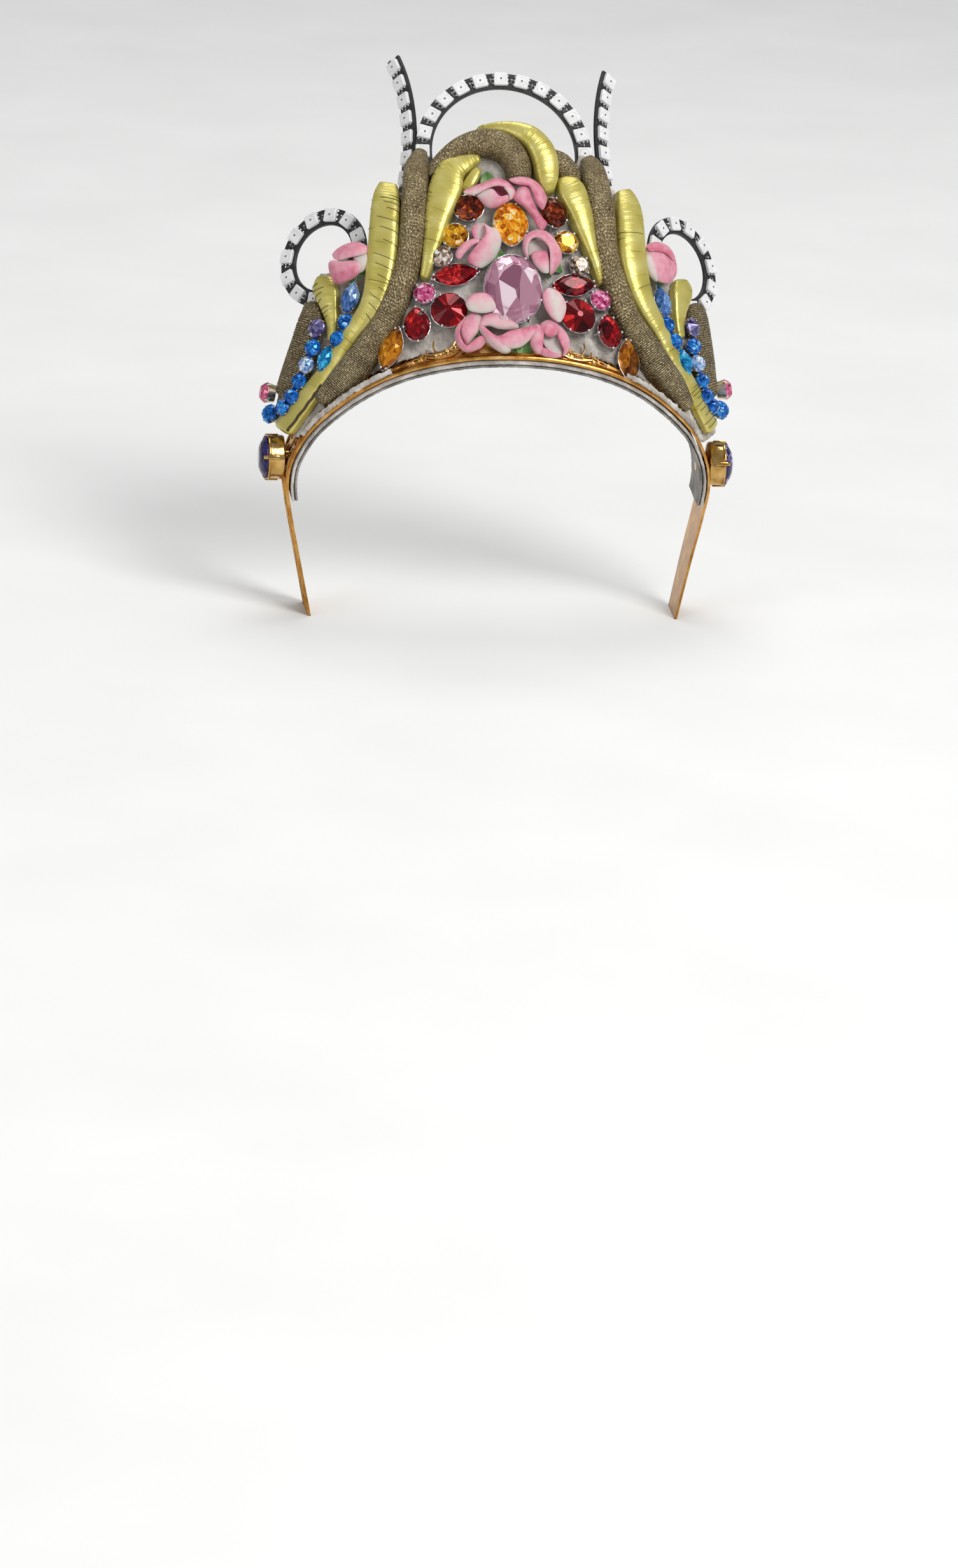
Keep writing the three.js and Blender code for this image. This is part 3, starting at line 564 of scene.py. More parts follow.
def lurex(name, ribs, dark=0.0, drawn=0.0):
    """Woven lurex: olive brown yarn crossed by flat metal threads, with painted glint in short slanting
    dashes.
    ribs sets how strong the cross ribs are, and dark how much darker the cloth is, with less painted glint.
    drawn brings both in towards the lower end of a long strip, where the cloth is drawn tight."""
    finish = Finish(name, "#8a7450", 0.45, 0.4, place="UVMap")
    dashes = []
    for angle, thick in ((0.7, 0.27), (-0.85, 0.36)):
        turned = finish.add("Mapping", {"Vector": finish.place, "Rotation": (0, 0, angle),
                                        "Scale": (2.2 * thick, thick, 1)}, vector_type="TEXTURE")
        dashes.append(finish.clouds(1, Vector=turned, Detail=3, Roughness=0.75))
    # Where both dashes are strong the colour turns near white: painted glint of the metal threads catching
    # the light.
    painted_glints = finish.work("MULTIPLY", *dashes)
    tight = finish.span(finish.add("SeparateXYZ", {"Vector": finish.place}), 48, 78, 0.0, drawn)
    strong = finish.work("MULTIPLY_ADD", tight, 0.1, ribs)
    ribbed = finish.work("MULTIPLY", finish.waves(0.75, Distortion=1.5, Detail=1), strong)
    shade = finish.work("MULTIPLY_ADD", finish.clouds(0.25), 0.12, -dark)
    dull = finish.work("MULTIPLY_ADD", tight, -0.07, shade)
    level = finish.work("ADD", finish.work("ADD", painted_glints, ribbed), dull)
    tone = finish.ramp(level, (0.22, "#34291a"), (0.3, "#635336"), (0.37, "#928058"), (0.42, "#ddcfa2"),
                       (0.48, "#fffdea"))
    return finish.feed(Base_Color=tone, Roughness=finish.span(level, 0.2, 0.45, 0.7, 0.25),
                       Normal=finish.bump(level, 0.8, 0.8))


def foil_cloth():
    """Foil-coated cloth, yellow gold: a satin metal film, creased across the strip, with painted shade as
    thin dark lines along the creases.
    """
    finish = Finish("gold_foil_cloth", "#c8bc66", 0.3, 0.45, place="UVMap")
    # A crease lies on the top of each wave, about every 3 mm, and the distortion spaces them unevenly.
    folds = finish.waves(3.2, Distortion=4.0, Detail=1.5, Detail_Scale=0.45)
    crease = finish.span(folds, 0.975, 0.998, 1.0, 0.0)
    spots = finish.clouds(0.14, Detail=1)
    # Each crease is a thin dark line of painted shade in the colour, and a dent in the surface. Where the
    # spots are light the creases fade away.
    painted_crease_shade = finish.work("MAXIMUM", crease, finish.span(spots, 0.32, 0.5, 0.45, 1.0))
    level = finish.work("MULTIPLY", finish.span(spots, 0.3, 0.7, 0.6, 0.95), painted_crease_shade)
    tone = finish.ramp(level, (0.15, "#5c5020"), (0.5, "#aea04a"), (0.7, "#c3b65c"), (0.95, "#d8cc7c"))
    across = finish.add("Mapping", {"Vector": finish.place, "Scale": (0.14, 0.75, 1)})
    slack = finish.clouds(1, Vector=across, Detail=3, Roughness=0.55)
    return finish.feed(Base_Color=tone, Normal=finish.bump(finish.work("ADD", slack, painted_crease_shade), 0.5, 0.5))


bronze = lurex("bronze_lurex", ribs=0.03, drawn=1.0)
ribbed_bronze = lurex("bronze_lurex_ribbed", ribs=0.11, dark=0.07)
foil = foil_cloth()
# Sewing cotton, near black brown: matt, thin, and only seen where it crosses the gold.
thread = mottled("dark_sewing_thread", "#3a2f1c", 0.8, 0.0, 0.5, (0.3, "#2c2314"), (0.7, "#51432a"))

# Columns: x and z of the strip's middle on the crown's face, its width, and how far its front stands up.
BRONZE = {"left": (
    (29.9, 75.9, 2.5, 2.5), (31, 71.5, 6.5, 5), (32.1, 66.2, 8.4, 6.5), (33, 52.9, 9.2, 7),
    (36, 34, 8.2, 7), (43.3, 15.4, 7.6, 7), (49.4, 5.8, 8, 7), (55.6, -2.6, 8.4, 7),
    (61.8, -9, 7, 6), (69.6, -15.8, 3.6, 3.5),
), "right": (
    (32.2, 74.4, 2.5, 2.5), (33.2, 71, 6.5, 5), (34.2, 66.5, 8.4, 6.5), (36.2, 54.1, 9.2, 7),
    (38, 35.3, 8.2, 7), (44.4, 16.9, 7.6, 7), (50.4, 7.4, 8, 7), (56.6, -1.4, 8.4, 7),
    (63.4, -9, 7, 6), (69.8, -16.6, 3.6, 3.5),
)}
GOLD = {"left": (
    (42.2, 63.4, 5, 3), (42.8, 58.6, 8, 5), (43.4, 51, 9.2, 6.5), (45, 34, 9.4, 7),
    (48.8, 19.3, 6.8, 6), (56.5, 8.3, 4.8, 4.8), (62.8, -1, 4, 3.8), (67.8, -7.2, 4.4, 3.4),
    (73.8, -15, 5.2, 3.2), (82.6, -27, 5.2, 3),
), "right": (
    (45.8, 62.4, 4, 3), (46.6, 57.6, 7.4, 5), (46.8, 50.8, 9.2, 6.5), (47.2, 35.4, 9.4, 7),
    (51, 22, 6.8, 6), (58.2, 10.3, 4.8, 4.8), (64.6, -0.6, 4, 3.8), (68.8, -5.8, 4.4, 3.4),
    (73.6, -13.2, 5, 3.2), (81, -24.6, 5, 3),
)}
GOLD_TIP = {"left": (
    (66, 29.8, 3.5, 2.5), (65.8, 24.4, 7.4, 3.6), (64.4, 16.9, 4.6, 3.2), (63.9, 11, 2.6, 2.6),
    (64.7, 5.4, 1.6, 2),
), "right": (
    (68.4, 30.6, 3.5, 2.5), (68.8, 25.6, 7.4, 3.6), (67.6, 18.9, 4.6, 3.2), (67.4, 13.6, 2.6, 2.6),
    (68.4, 8.6, 1.6, 2),
)}
BRONZE_OUTER = {"left": (
    (71.6, 20.4, 3, 2), (71.2, 15.2, 7, 2.8), (73.2, 7, 8.6, 2.8), (75.9, -0.9, 8.8, 2.8),
    (78.4, -7.7, 8.2, 2.8), (81.4, -15.2, 6.8, 2.8),
), "right": (
    (76.2, 22, 3.5, 2), (76.4, 16.8, 8, 2.8), (77.4, 9, 9.6, 2.8), (78.6, 1.2, 9.6, 2.8),
    (79.8, -5.6, 8.6, 2.8), (81.6, -13.2, 7, 2.8),
)}
TOP_STRIPS = (
    ("gold_ribbon_top", foil, (
        (-9.6, 83.2, 1.4, 2), (-0.6, 83.4, 3.2, 5), (6.6, 81.2, 5.8, 7.5), (11.4, 78, 7.4, 8),
        (14.6, 72.6, 8.6, 8), (15.6, 66.6, 7.8, 7.5), (16, 62.6, 5.8, 6), (16.8, 59.5, 2.4, 4),
    )),
    ("bronze_curl_top", bronze, (
        (-27.6, 65.6, 2.4, 3), (-23.6, 70.2, 5, 5), (-15.6, 76, 6.6, 7), (-6.4, 78.2, 8.4, 7.5),
        (1.4, 75.6, 9.4, 7.5), (5.2, 70, 9, 7), (5.8, 64, 8, 5),
    )),
    ("bronze_tip_right", bronze, (
        (17, 75.4, 3, 3), (21.2, 71.6, 7.2, 5), (25.6, 67.2, 6, 5), (27.8, 64, 3, 3),
    )),
    ("gold_leaf_left", foil, (
        (-8.4, 73.6, 2.6, 2), (-13.2, 71.8, 6.2, 4), (-19, 67.6, 9, 6), (-21.7, 60.4, 11, 6.5),
        (-24.4, 52, 8.6, 6.5), (-26.4, 43.5, 6, 6), (-28.8, 34.5, 3.6, 5), (-30.8, 28.5, 1.8, 3),
    )),
    ("gold_leaf_right", foil, (
        (22, 67, 4, 3.5), (24.8, 61, 9.2, 6), (27.6, 53.4, 7.8, 6.5), (29.4, 47.6, 6.2, 6),
        (31.2, 40.8, 3.8, 5.5), (33.4, 34, 2.8, 5), (35.6, 27.6, 1.8, 3),
    )),
    ("gold_bit_top", foil, (
        (-15.4, 60.4, 1.2, 2.5), (-12.8, 63.4, 3.4, 3.5), (-10.4, 67, 2.8, 3.5), (-9.2, 69.6, 1.2, 2.5),
    )),
)
STRIP_SLOT = {foil.name: "gold_foil", bronze.name: "bronze_cloth", ribbed_bronze.name: "bronze_cloth"}


def add_strip(name, rows, material):
    pucker, flat = (creased_pad, 0.25) if material == foil else (even_pad, 0.6)
    pad = padded_strip(name + "_pad", rows, material, pucker, flat)
    settle(pad, STRIP_SLOT[material.name], name)


SIDES = (("left", -1), ("right", 1))
for name, material, rows in TOP_STRIPS:
    add_strip(name, rows, material)
for side, sign in SIDES:
    add_strip("bronze_scroll_" + side, strip_rows(BRONZE[side], sign), bronze)
    add_strip("gold_scroll_" + side, strip_rows(GOLD[side], sign), foil)
    add_strip("gold_tip_" + side, strip_rows(GOLD_TIP[side], sign), foil)
    add_strip("bronze_scroll_outer_" + side, strip_rows(BRONZE_OUTER[side], sign), ribbed_bronze)


def stitches(rows, edge, first, last, spacing, reach, bend=0.0):
    """Threads over a strip from one edge, angle 0 or pi, each reaching some way round its front."""
    length = strip_length(rows)
    runs = []
    walked = first
    count = 0
    while walked < last:
        long = reach * (0.75 + 0.5 * ((count * 37) % 10) / 10)
        run = []
        for step in range(7):
            way = step / 6
            angle = edge + (1 if edge == 0 else -1) * long * way
            share = (walked + bend * way) / length
            run.append(strip_point(rows, share, angle, 0.06, 0.25))
        runs.append(run)
        walked += spacing * (0.8 + 0.4 * ((count * 53) % 10) / 10)
        count += 1
    return runs


STITCHED = (                               # strip, edge, from, to, spacing, reach and slant
    (strip_rows(GOLD["left"], -1), 0, 14, 52, 2.9, 1.7, -1.3),
    (strip_rows(GOLD["left"], -1), math.pi, 16, 44, 6.2, 0.4, 0.6),
    (strip_rows(TOP_STRIPS[3][2]), math.pi, 14, 46, 2.9, 0.75, 0.5),
    (strip_rows(GOLD_TIP["left"], -1), math.pi, 6, 16, 1.7, 1.5, -1.6),
    (strip_rows(GOLD["right"]), math.pi, 25.6, 26.4, 3.0, 3.0, 0.3),
    (strip_rows(GOLD["right"]), 0, 80, 94, 1.7, 2.4, 0.5),
    (strip_rows(GOLD["right"]), math.pi, 52, 84, 3.4, 0.5, 0.4),
)
runs = []
for rows, edge, first, last, spacing, reach, slant in STITCHED:
    runs += stitches(rows, edge, first, last, spacing, reach, slant)
settle(wire("scroll_stitches", runs, 0.22, thread, 0), "bronze_cloth")

# The left gold scroll's lower end was drawn shut by hand, which left a dark seam along it.
rows = strip_rows(GOLD["left"], -1)
SEAM_FROM, SEAM_STEP = 82, 1.2
seam = []
for step in range(16):
    share = (SEAM_FROM + SEAM_STEP * step) / strip_length(rows)
    seam.append(strip_point(rows, share, 0.75 + 0.05 * math.sin(step * 1.9), 0, 0.25))
settle(wire("scroll_seam", [seam], 1.1, thread, 1), "bronze_cloth")


# ---------------------------------------------------------------- the lace along the brow
# At the brow the band's pierced edge shows below the felt: a plain lip, two long wires with curls
# between them at each side, and a single curl further out. All of it is gilt brass.

LIP_HEIGHT = 7.2                           # in the middle, and it is lower towards its ends
LIP_FALL = 24
LIP_BACK = BACK + 1.2


def brow(share):
    """The band's front edge, and the places above it on the felt."""
    edge = on_band(share, 0.0, 0.2)
    tall = LIP_HEIGHT - LIP_FALL * abs(share - 0.5)
    return [edge] + [face_point(edge.x, edge.z + tall * part, LIP_BACK) for part in (0.15, 0.5, 1)]


BROW_STEPS = 90
bpy.ops.mesh.primitive_grid_add(x_subdivisions=BROW_STEPS, y_subdivisions=3, size=1)
lip = named("brow_lip", gilt)
for vertex in lip.data.vertices:
    rows = brow(0.5 + vertex.co.x * 0.34)
    vertex.co = rows[round((vertex.co.y + 0.5) * 3)]
apply(lip, "SOLIDIFY", thickness=0.5, offset=0)
outward(lip)
smooth(lip, 40)

# Polished gilt wire, with a lighter colour than the lip behind it: a painted highlight for its round face
# catching the light.
painted_highlight_gilt = mottled("gilt_wire_painted_highlight", "#e0ae62", 0.2, 1.0, 1.5, (0.35, "#c98f44"), (0.65, "#f0c887"))

LONG_WIRES = (                             # across and up, for one side
    ((17.4, 4.6), (20.4, 2.2), (24.2, 0.9), (28, 0.5), (30.6, 0.7)),
    ((19.4, 8), (20.8, 5.2), (23.2, 3.1), (26.6, 2.1), (30.2, 1.6)),
    ((16, 3.4), (19.6, 1.2), (23.6, 0), (27.6, -0.6)),
    ((30.4, 3.4), (30.8, 0.6), (31.2, -1.4)),
    ((27.8, 6.6), (28, 4.4), (26.8, 2.4)),
    ((31.4, 1.6), (33, 0.4), (35.2, -0.4), (37.2, -2)),
)
CURLS = (                                  # across, up and size, for one side
    (22, 3, 1.5), (24.8, 1.9, 0.9), (26.6, 1.5, 0.8), (35.9, -2.2, 1.6), (19.4, 4.6, 1.1), (32.6, -0.6, 0.8),
)
runs = []
for side, sign in SIDES:
    for points in LONG_WIRES:
        runs.append([face_point(sign * x, z, LIP_BACK + 0.7)
                     for x, z in (along_rows(points, step / 16) for step in range(17))])
    for x, z, size in CURLS:
        runs.append([face_point(sign * (x + size * (1 - 0.06 * step) * math.cos(step * 0.8)),
                                z + size * (1 - 0.06 * step) * math.sin(step * 0.8), LIP_BACK + 0.7)
                     for step in range(12)])
brow_lace = wire("brow_wires", runs, 0.7, painted_highlight_gilt, 1)
settle(joined("brow_lace", [lip, brow_lace]), "gilt_metal")

# Further out, a soft roll of the same grey felt closes the gap between the band and the scrolls.
ROLL_FROM, ROLL_TO = 42, 72                # from the middle of the crown, along x
ROLL_THICK = 2.2
runs = []
for side, sign in SIDES:
    edges = [on_band(0.5 + sign * step / 800, 0.0, 0.0) for step in range(80, 320)]
    runs.append([edge + Vector((0, 0.9, 1.5)) for edge in edges if ROLL_FROM < abs(edge.x) < ROLL_TO])
roll = wire("brow_felt_roll", runs, ROLL_THICK, grey_felt, 3)
roughen(roll, 1, (0.5, 1.3), (0.35, 0.6))
settle(roll, "felt")


# ---------------------------------------------------------------- the crystals
# Cut glass stones backed with foil, each held in a stamped metal cup whose claws fold over its edge.
# The cups are sewn to the felt. The facets of the glass are painted light and dark, with a few painted
# glints: painted reflections of the foil throwing light back.

CROWN_HEIGHT = 2.2                         # from a stone's girdle to its table


def seat(x, z, turn=0.0, sideways=0.0, proud=0.0):
    """The frame of a piece on the face layer, turned about its own axis, and swung sideways if asked."""
    at, right, up, out = face_at(x, z)
    basis = Matrix((right, up, out)).transposed().to_4x4()
    swung = Matrix.Rotation(math.radians(sideways) * math.copysign(1, x), 4, "Y")
    turned = Matrix.Rotation(math.radians(turn), 4, "Z")
    return Matrix.Translation(at) @ basis @ swung @ turned @ Matrix.Translation((0, 0, proud))


def turn_half_facet(facets):
    bpy.ops.transform.rotate(value=math.pi / facets, orient_axis="Z", center_override=(0, 0, 0))


def cut_glass(name, facets, tiers, table):
    """A stone of radius 1 with its girdle at height 0. Its tiers rise from the back to the table."""
    bpy.ops.mesh.primitive_circle_add(vertices=facets, radius=tiers[0][1], fill_type="NGON",
                                      location=(0, 0, tiers[0][0]))
    stone = named(name)
    bpy.ops.object.transform_apply(location=True)
    with editing():
        bpy.ops.mesh.select_mode(type="VERT")
        for (height, size, turned), (last_height, last_size, _) in zip(tiers[1:], tiers):
            extrude(height - last_height, size / last_size)
            if turned:
                turn_half_facet(facets)
        for size in table:
            extrude(0, size)
            turn_half_facet(facets)
        bpy.ops.mesh.select_mode(type="FACE")
        bpy.ops.mesh.poke()
        bpy.ops.mesh.select_all(action="SELECT")
        bpy.ops.mesh.quads_convert_to_tris(quad_method="FIXED")
        bpy.ops.mesh.select_mode(type="VERT")
    return stone


# Tiers: height over the girdle, size, and whether the ring is turned half a facet.
CUTS = {
    "chaton": cut_glass("chaton_cut", 12, ((-3.0, 0.5, False), (-0.25, 1, False), (0, 1, False),
                                            (1.2, 0.82, True), (2.2, 0.55, True)), (0.55,)),
    "rivoli": cut_glass("rivoli_cut", 14, ((-3.0, 0.5, False), (-0.25, 1, False), (0, 1, False),
                                            (0.45, 0.93, True), (2.5, 0.16, False)), ()),
    "oval": cut_glass("oval_cut", 16, ((-3.4, 0.5, False), (-0.3, 1, False), (0, 1, False),
                                        (0.9, 0.9, True), (1.7, 0.74, True), (2.3, 0.58, False)),
                      (0.72, 0.5)),
    "navette": cut_glass("navette_cut", 16, ((-3.0, 0.5, False), (-0.25, 1, False), (0, 1, False),
                                              (1.3, 0.78, True), (2.2, 0.5, True)), (0.55,)),
    "pear": cut_glass("pear_cut", 16, ((-3.0, 0.5, False), (-0.25, 1, False), (0, 1, False),
                                        (1.3, 0.8, True), (2.2, 0.52, True)), (0.55,)),
    "amber": cut_glass("amber_cut", 20, ((-3.0, 0.5, False), (-0.25, 1, False), (0, 1, False),
                                          (0.8, 0.88, True), (1.6, 0.7, True), (2.2, 0.5, True)),
                       (0.75, 0.6, 0.5)),
}
OUTLINES = {
    "round": lambda x, y: (x, y),
    "navette": lambda x, y: (x, y * abs(y) / max(math.hypot(x, y), 1e-6)),
    "pear": lambda x, y: (x * (1 - 0.42 * max(y / max(math.hypot(x, y), 1e-6), 0) ** 2), y),
    "drop": lambda x, y: (x * (1 - 0.9 * max(y / max(math.hypot(x, y), 1e-6), 0) ** 1.6), y),
}


def crystal(name, deep, body, bright, painted_glint="#ffffff", patch=2.0, share=0.45, long=1.0, metal=0.35):
    """Foil-backed crystal: its facets each take their own tone as painted reflections, and a few are painted
    glints.
    The cut at its back shows through as painted reflections in patches of so many millimetres, long times as
    tall as wide."""
    finish = Finish(name, body, 0.04, metal, IOR=1.5, Specular_IOR_Level=0.3, Coat_Weight=0.12,
                    Coat_Roughness=0.02)
    facet_painted_light = finish.add("Attribute", attribute_name="facet_painted_light")
    drawn = finish.add("Mapping", {"Vector": finish.place, "Scale": (1, 1 / long, 1 / long)})
    # Voronoi patches of painted reflection, standing for the cut at the back seen through the glass.
    inner = finish.add("TexVoronoi", {"Vector": drawn, "Scale": grain(patch)})
    painted_back_reflections = finish.work("MULTIPLY", finish.add("SeparateColor", {"Color": inner}), share)
    level = finish.work("ADD", painted_back_reflections, finish.work("MULTIPLY", facet_painted_light, 1.05 - share))
    return finish.feed(Base_Color=finish.ramp(level, (0.1, deep), (0.45, body), (0.78, bright),
                                              (0.97, painted_glint)))


# Lead crystal in the colours of garnet, topaz, amber, rose and sapphire, all over silver foil.
# Each runs from the painted shade of its darkest facets through its body colour to its lit facets, and ends
# in the colour of its painted glint.
GLASS = {
    "pink": crystal("light_rose_crystal", "#6e3c54", "#a87488", "#deb8c6", "#fff6fa", 4.4, 0.72, 2.3, 0.3),
    "magenta": crystal("fuchsia_crystal", "#6a1440", "#c8447f", "#f0a2c4", "#ffffff", 1.3, 0.65),
    "red": crystal("garnet_red_crystal", "#280104", "#64020c", "#9a0814", "#ff3a34", 4.4, 0.6, 1.5),
    "amber": crystal("sunflower_crystal", "#9a3e02", "#e88a08", "#ffc434", "#fffbe0", 1.7, 0.68),
    "yellow": crystal("light_topaz_crystal", "#5c2e04", "#c6820c", "#ffcb34", "#fffbe6", 1.9, 0.62),
    "topaz": crystal("smoked_topaz_crystal", "#1c0401", "#501304", "#96370b", "#e8803e", 2.4, 0.5),
    "champagne": crystal("champagne_crystal", "#2e2118", "#7c6654", "#cdbcaa", "#ffffff", 1.3, 0.75),
    "golden": crystal("topaz_crystal", "#3a1904", "#8c4c08", "#d68a12", "#ffd070", 5, 0.62, 2.4),
    "sky": crystal("light_sapphire_crystal", "#21447c", "#5079b8", "#93b4e2", "#ffffff", 5, 0.6, 2),
    "sapphire": crystal("sapphire_crystal", "#021f5e", "#0754ac", "#2490e2", "#c4f0ff", 1.6, 0.55),
    "ice": crystal("ice_blue_crystal", "#44689c", "#8fb0dc", "#dcebfb", "#ffffff", 1.8, 0.5),
    "turquoise": crystal("turquoise_crystal", "#044a80", "#0b86c4", "#4cc4ee", "#e8fbff", 2, 0.5),
    "violet": crystal("tanzanite_crystal", "#1e1a3a", "#4a4274", "#8a83b2", "#ffffff", 1.8, 0.5),
    "rose": crystal("rose_crystal", "#6e2440", "#bb4f72", "#e68aa6", "#ffffff", 1.8, 0.5),
}
GLASS_SLOT = {
    "pink": "rose_stone", "magenta": "magenta_stone", "red": "red_stone", "amber": "amber_stone",
    "yellow": "yellow_stone", "topaz": "topaz_stone", "champagne": "champagne_stone",
    "golden": "amber_stone", "sky": "blue_stone", "sapphire": "blue_stone", "ice": "blue_stone",
    "turquoise": "blue_stone", "violet": "violet_stone", "rose": "rose_stone",
}
# Rhodium plate over brass: a bright neutral silver, slightly brushed by tumbling.
silver = mottled("rhodium_plate", "#c9c8cb", 0.22, 1.0, 1.5, shine=(0.14, 0.36), Detail=3)

bpy.ops.mesh.primitive_circle_add(vertices=28, radius=0.84, fill_type="NOTHING", location=(0, 0, 0))
cup_model = named("cup_model", silver)
with editing():
    for rise, wide in ((0.55, 1.12), (0.38, 1.09), (0.07, 1.02)):
        extrude(rise, wide)

bpy.ops.mesh.primitive_uv_sphere_add(segments=10, ring_count=8, radius=0.5)
claw_model = named("claw_model", silver)
for vertex in claw_model.data.vertices:
    if vertex.co.z < 0:
        vertex.co.z *= 4.4
        vertex.co.x *= 0.8
        vertex.co.y *= 0.8


def copy_of(model, name):
    piece = bpy.data.objects.new(name, model.data.copy())
    bpy.context.collection.objects.link(piece)
    return piece


def set_crystal(name, glass, cut, outline, where, width, height, depth, claws, metal=None, tip=1.25):
    """A stone in its cup, on a frame whose zero is at the girdle, and the cup and claws round it."""
    chance = random.Random(name)
    shape = OUTLINES[outline]
    stone = copy_of(CUTS[cut], name + "_glass")
    stone.data.materials.append(GLASS[glass])
    for vertex in stone.data.vertices:
        x, y = shape(vertex.co.x, vertex.co.y)
        if cut == "oval" and vertex.co.z > 2:
            x, y = x * 0.98, y * 1.16
        vertex.co.x, vertex.co.y = x * width / 2, y * height / 2
    # The facets get random tones, painted reflections; the steep ones round the girdle are painted darker as
    # painted shade, and the oval's table takes one even tone.
    facet_painted_light = stone.data.attributes.new("facet_painted_light", "FLOAT", "FACE")
    for face, value in zip(stone.data.polygons, facet_painted_light.data):
        value.value = chance.random() * (0.5 + 0.5 * abs(face.normal.z))
        if cut == "oval" and face.normal.z > 0.9:
            value.value = 0.55
    stone.data.transform(where)
    cup = copy_of(cup_model, name + "_cup")
    for vertex in cup.data.vertices:
        x, y = shape(vertex.co.x, vertex.co.y)
        vertex.co.x, vertex.co.y = x * (width / 2 - 0.45), y * (height / 2 - 0.45)
        vertex.co.z = (vertex.co.z - 1) * depth + 0.1
    apply(cup, "SOLIDIFY", thickness=0.3, offset=-1)
    cup.data.transform(where)
    parts = [cup]
    for angle in claws:
        turn = math.radians(angle)
        x, y = shape(math.cos(turn), math.sin(turn))
        claw = copy_of(claw_model, name + "_claw")
        lean = Matrix.Rotation(math.atan2(y * height, x * width), 4, "Z") @ Matrix.Rotation(-0.3, 4, "Y")
        spot = Matrix.Translation((x * (width / 2 - 0.05), y * (height / 2 - 0.05), 0.35))
        claw.data.transform(where @ spot @ lean @ Matrix.Scale(tip, 4))
        parts.append(claw)
    holder = joined(name + "_cup", parts)
    if metal:
        holder.data.materials[0] = metal
    smooth(holder, 40)
    return stone, holder


FOUR = (45, 135, 225, 315)
NAVETTE = (28, 152, 208, 332)
STONES = (                                 # name, glass, cut, outline, x, z, width, height, turn, crown
    ("pink_oval", "pink", "oval", "round", 1.3, 24.3, 21, 26, 0, 2.5, (62, 118, 200, 340, 242, 298)),
    ("amber_pear", "amber", "amber", "pear", 1.5, 47.9, 13, 17, 180, 1, (20, 90, 160, 250, 290)),
    ("topaz_left", "topaz", "chaton", "round", -13.5, 54.1, 11.2, 10.4, 0, 0, (60, 150, 225, 290)),
    ("topaz_right", "topaz", "chaton", "round", 17.9, 52.8, 9.8, 12, 12, 0, (60, 130, 240, 320)),
    ("yellow_left", "yellow", "chaton", "round", -18.8, 44, 10, 9.6, 0, 0, FOUR),
    ("yellow_right", "yellow", "chaton", "round", 22.1, 42.3, 9.2, 9, 0, 0, FOUR),
    ("champagne_left", "champagne", "chaton", "round", -24, 36.5, 8.2, 8.2, 0, 0, FOUR),
    ("champagne_right", "champagne", "chaton", "round", 26.9, 33.9, 7.8, 7.8, 0, 0, FOUR),
    ("red_navette_left", "red", "navette", "navette", -19.1, 30, 17.6, 8.6, 10, 0, NAVETTE),
    ("red_navette_right", "red", "navette", "navette", 24.3, 26.9, 17.6, 8.6, 4, 0, NAVETTE),
    ("red_round_left", "red", "rivoli", "round", -21.8, 17.3, 13.3, 13.3, 0, 0, (20, 120, 250, 330)),
    ("red_round_right", "red", "rivoli", "round", 25.5, 15.9, 13.2, 13.2, 0, 0, (60, 170, 235, 300)),
    ("red_pear_left", "red", "pear", "pear", -33.4, 12.1, 9.8, 13.2, 8, 0, (50, 90, 185, 270, 355)),
    ("red_pear_right", "red", "pear", "pear", 37.3, 10.6, 9.4, 13, 2, 0, (50, 130, 185, 270, 355)),
    ("pink_round_left", "magenta", "chaton", "round", -30.4, 23.2, 8, 8, 0, 0, FOUR),
    ("pink_round_right", "magenta", "chaton", "round", 34.3, 21.8, 8, 8, 0, 0, FOUR),
    ("amber_navette_left", "golden", "navette", "navette", -42.9, 3.2, 17.5, 8.8, 76, 0, NAVETTE),
    ("amber_navette_right", "golden", "navette", "navette", 44.3, 0.3, 17.5, 8.8, 83, 0, NAVETTE),
)
for name, glass, cut, outline, x, z, width, height, turn, crown, claws in STONES:
    where = seat(x, z, turn, proud=crown - CROWN_HEIGHT)
    stone, cup = set_crystal(name, glass, cut, outline, where, width, height,
                             crown - CROWN_HEIGHT - BACK, claws)
    settle(stone, GLASS_SLOT[glass], "stone_" + name)
    settle(cup, "gilt_metal")


# ---------------------------------------------------------------- the side rows of blue crystals
# Small crystals in pale gold cups, soldered edge to edge into two chains on each side. The outer chain
# ends in a pink stone that faces outward, over the end of the gold scroll.

# Thin pale gold plate over brass, between silver and yellow.
pale_gold = mottled("pale_gold_plate", "#d9c79a", 0.24, 1.0, 2,
                    (0.35, "#cfcac0"), (0.65, "#dcc489"), Detail=3)

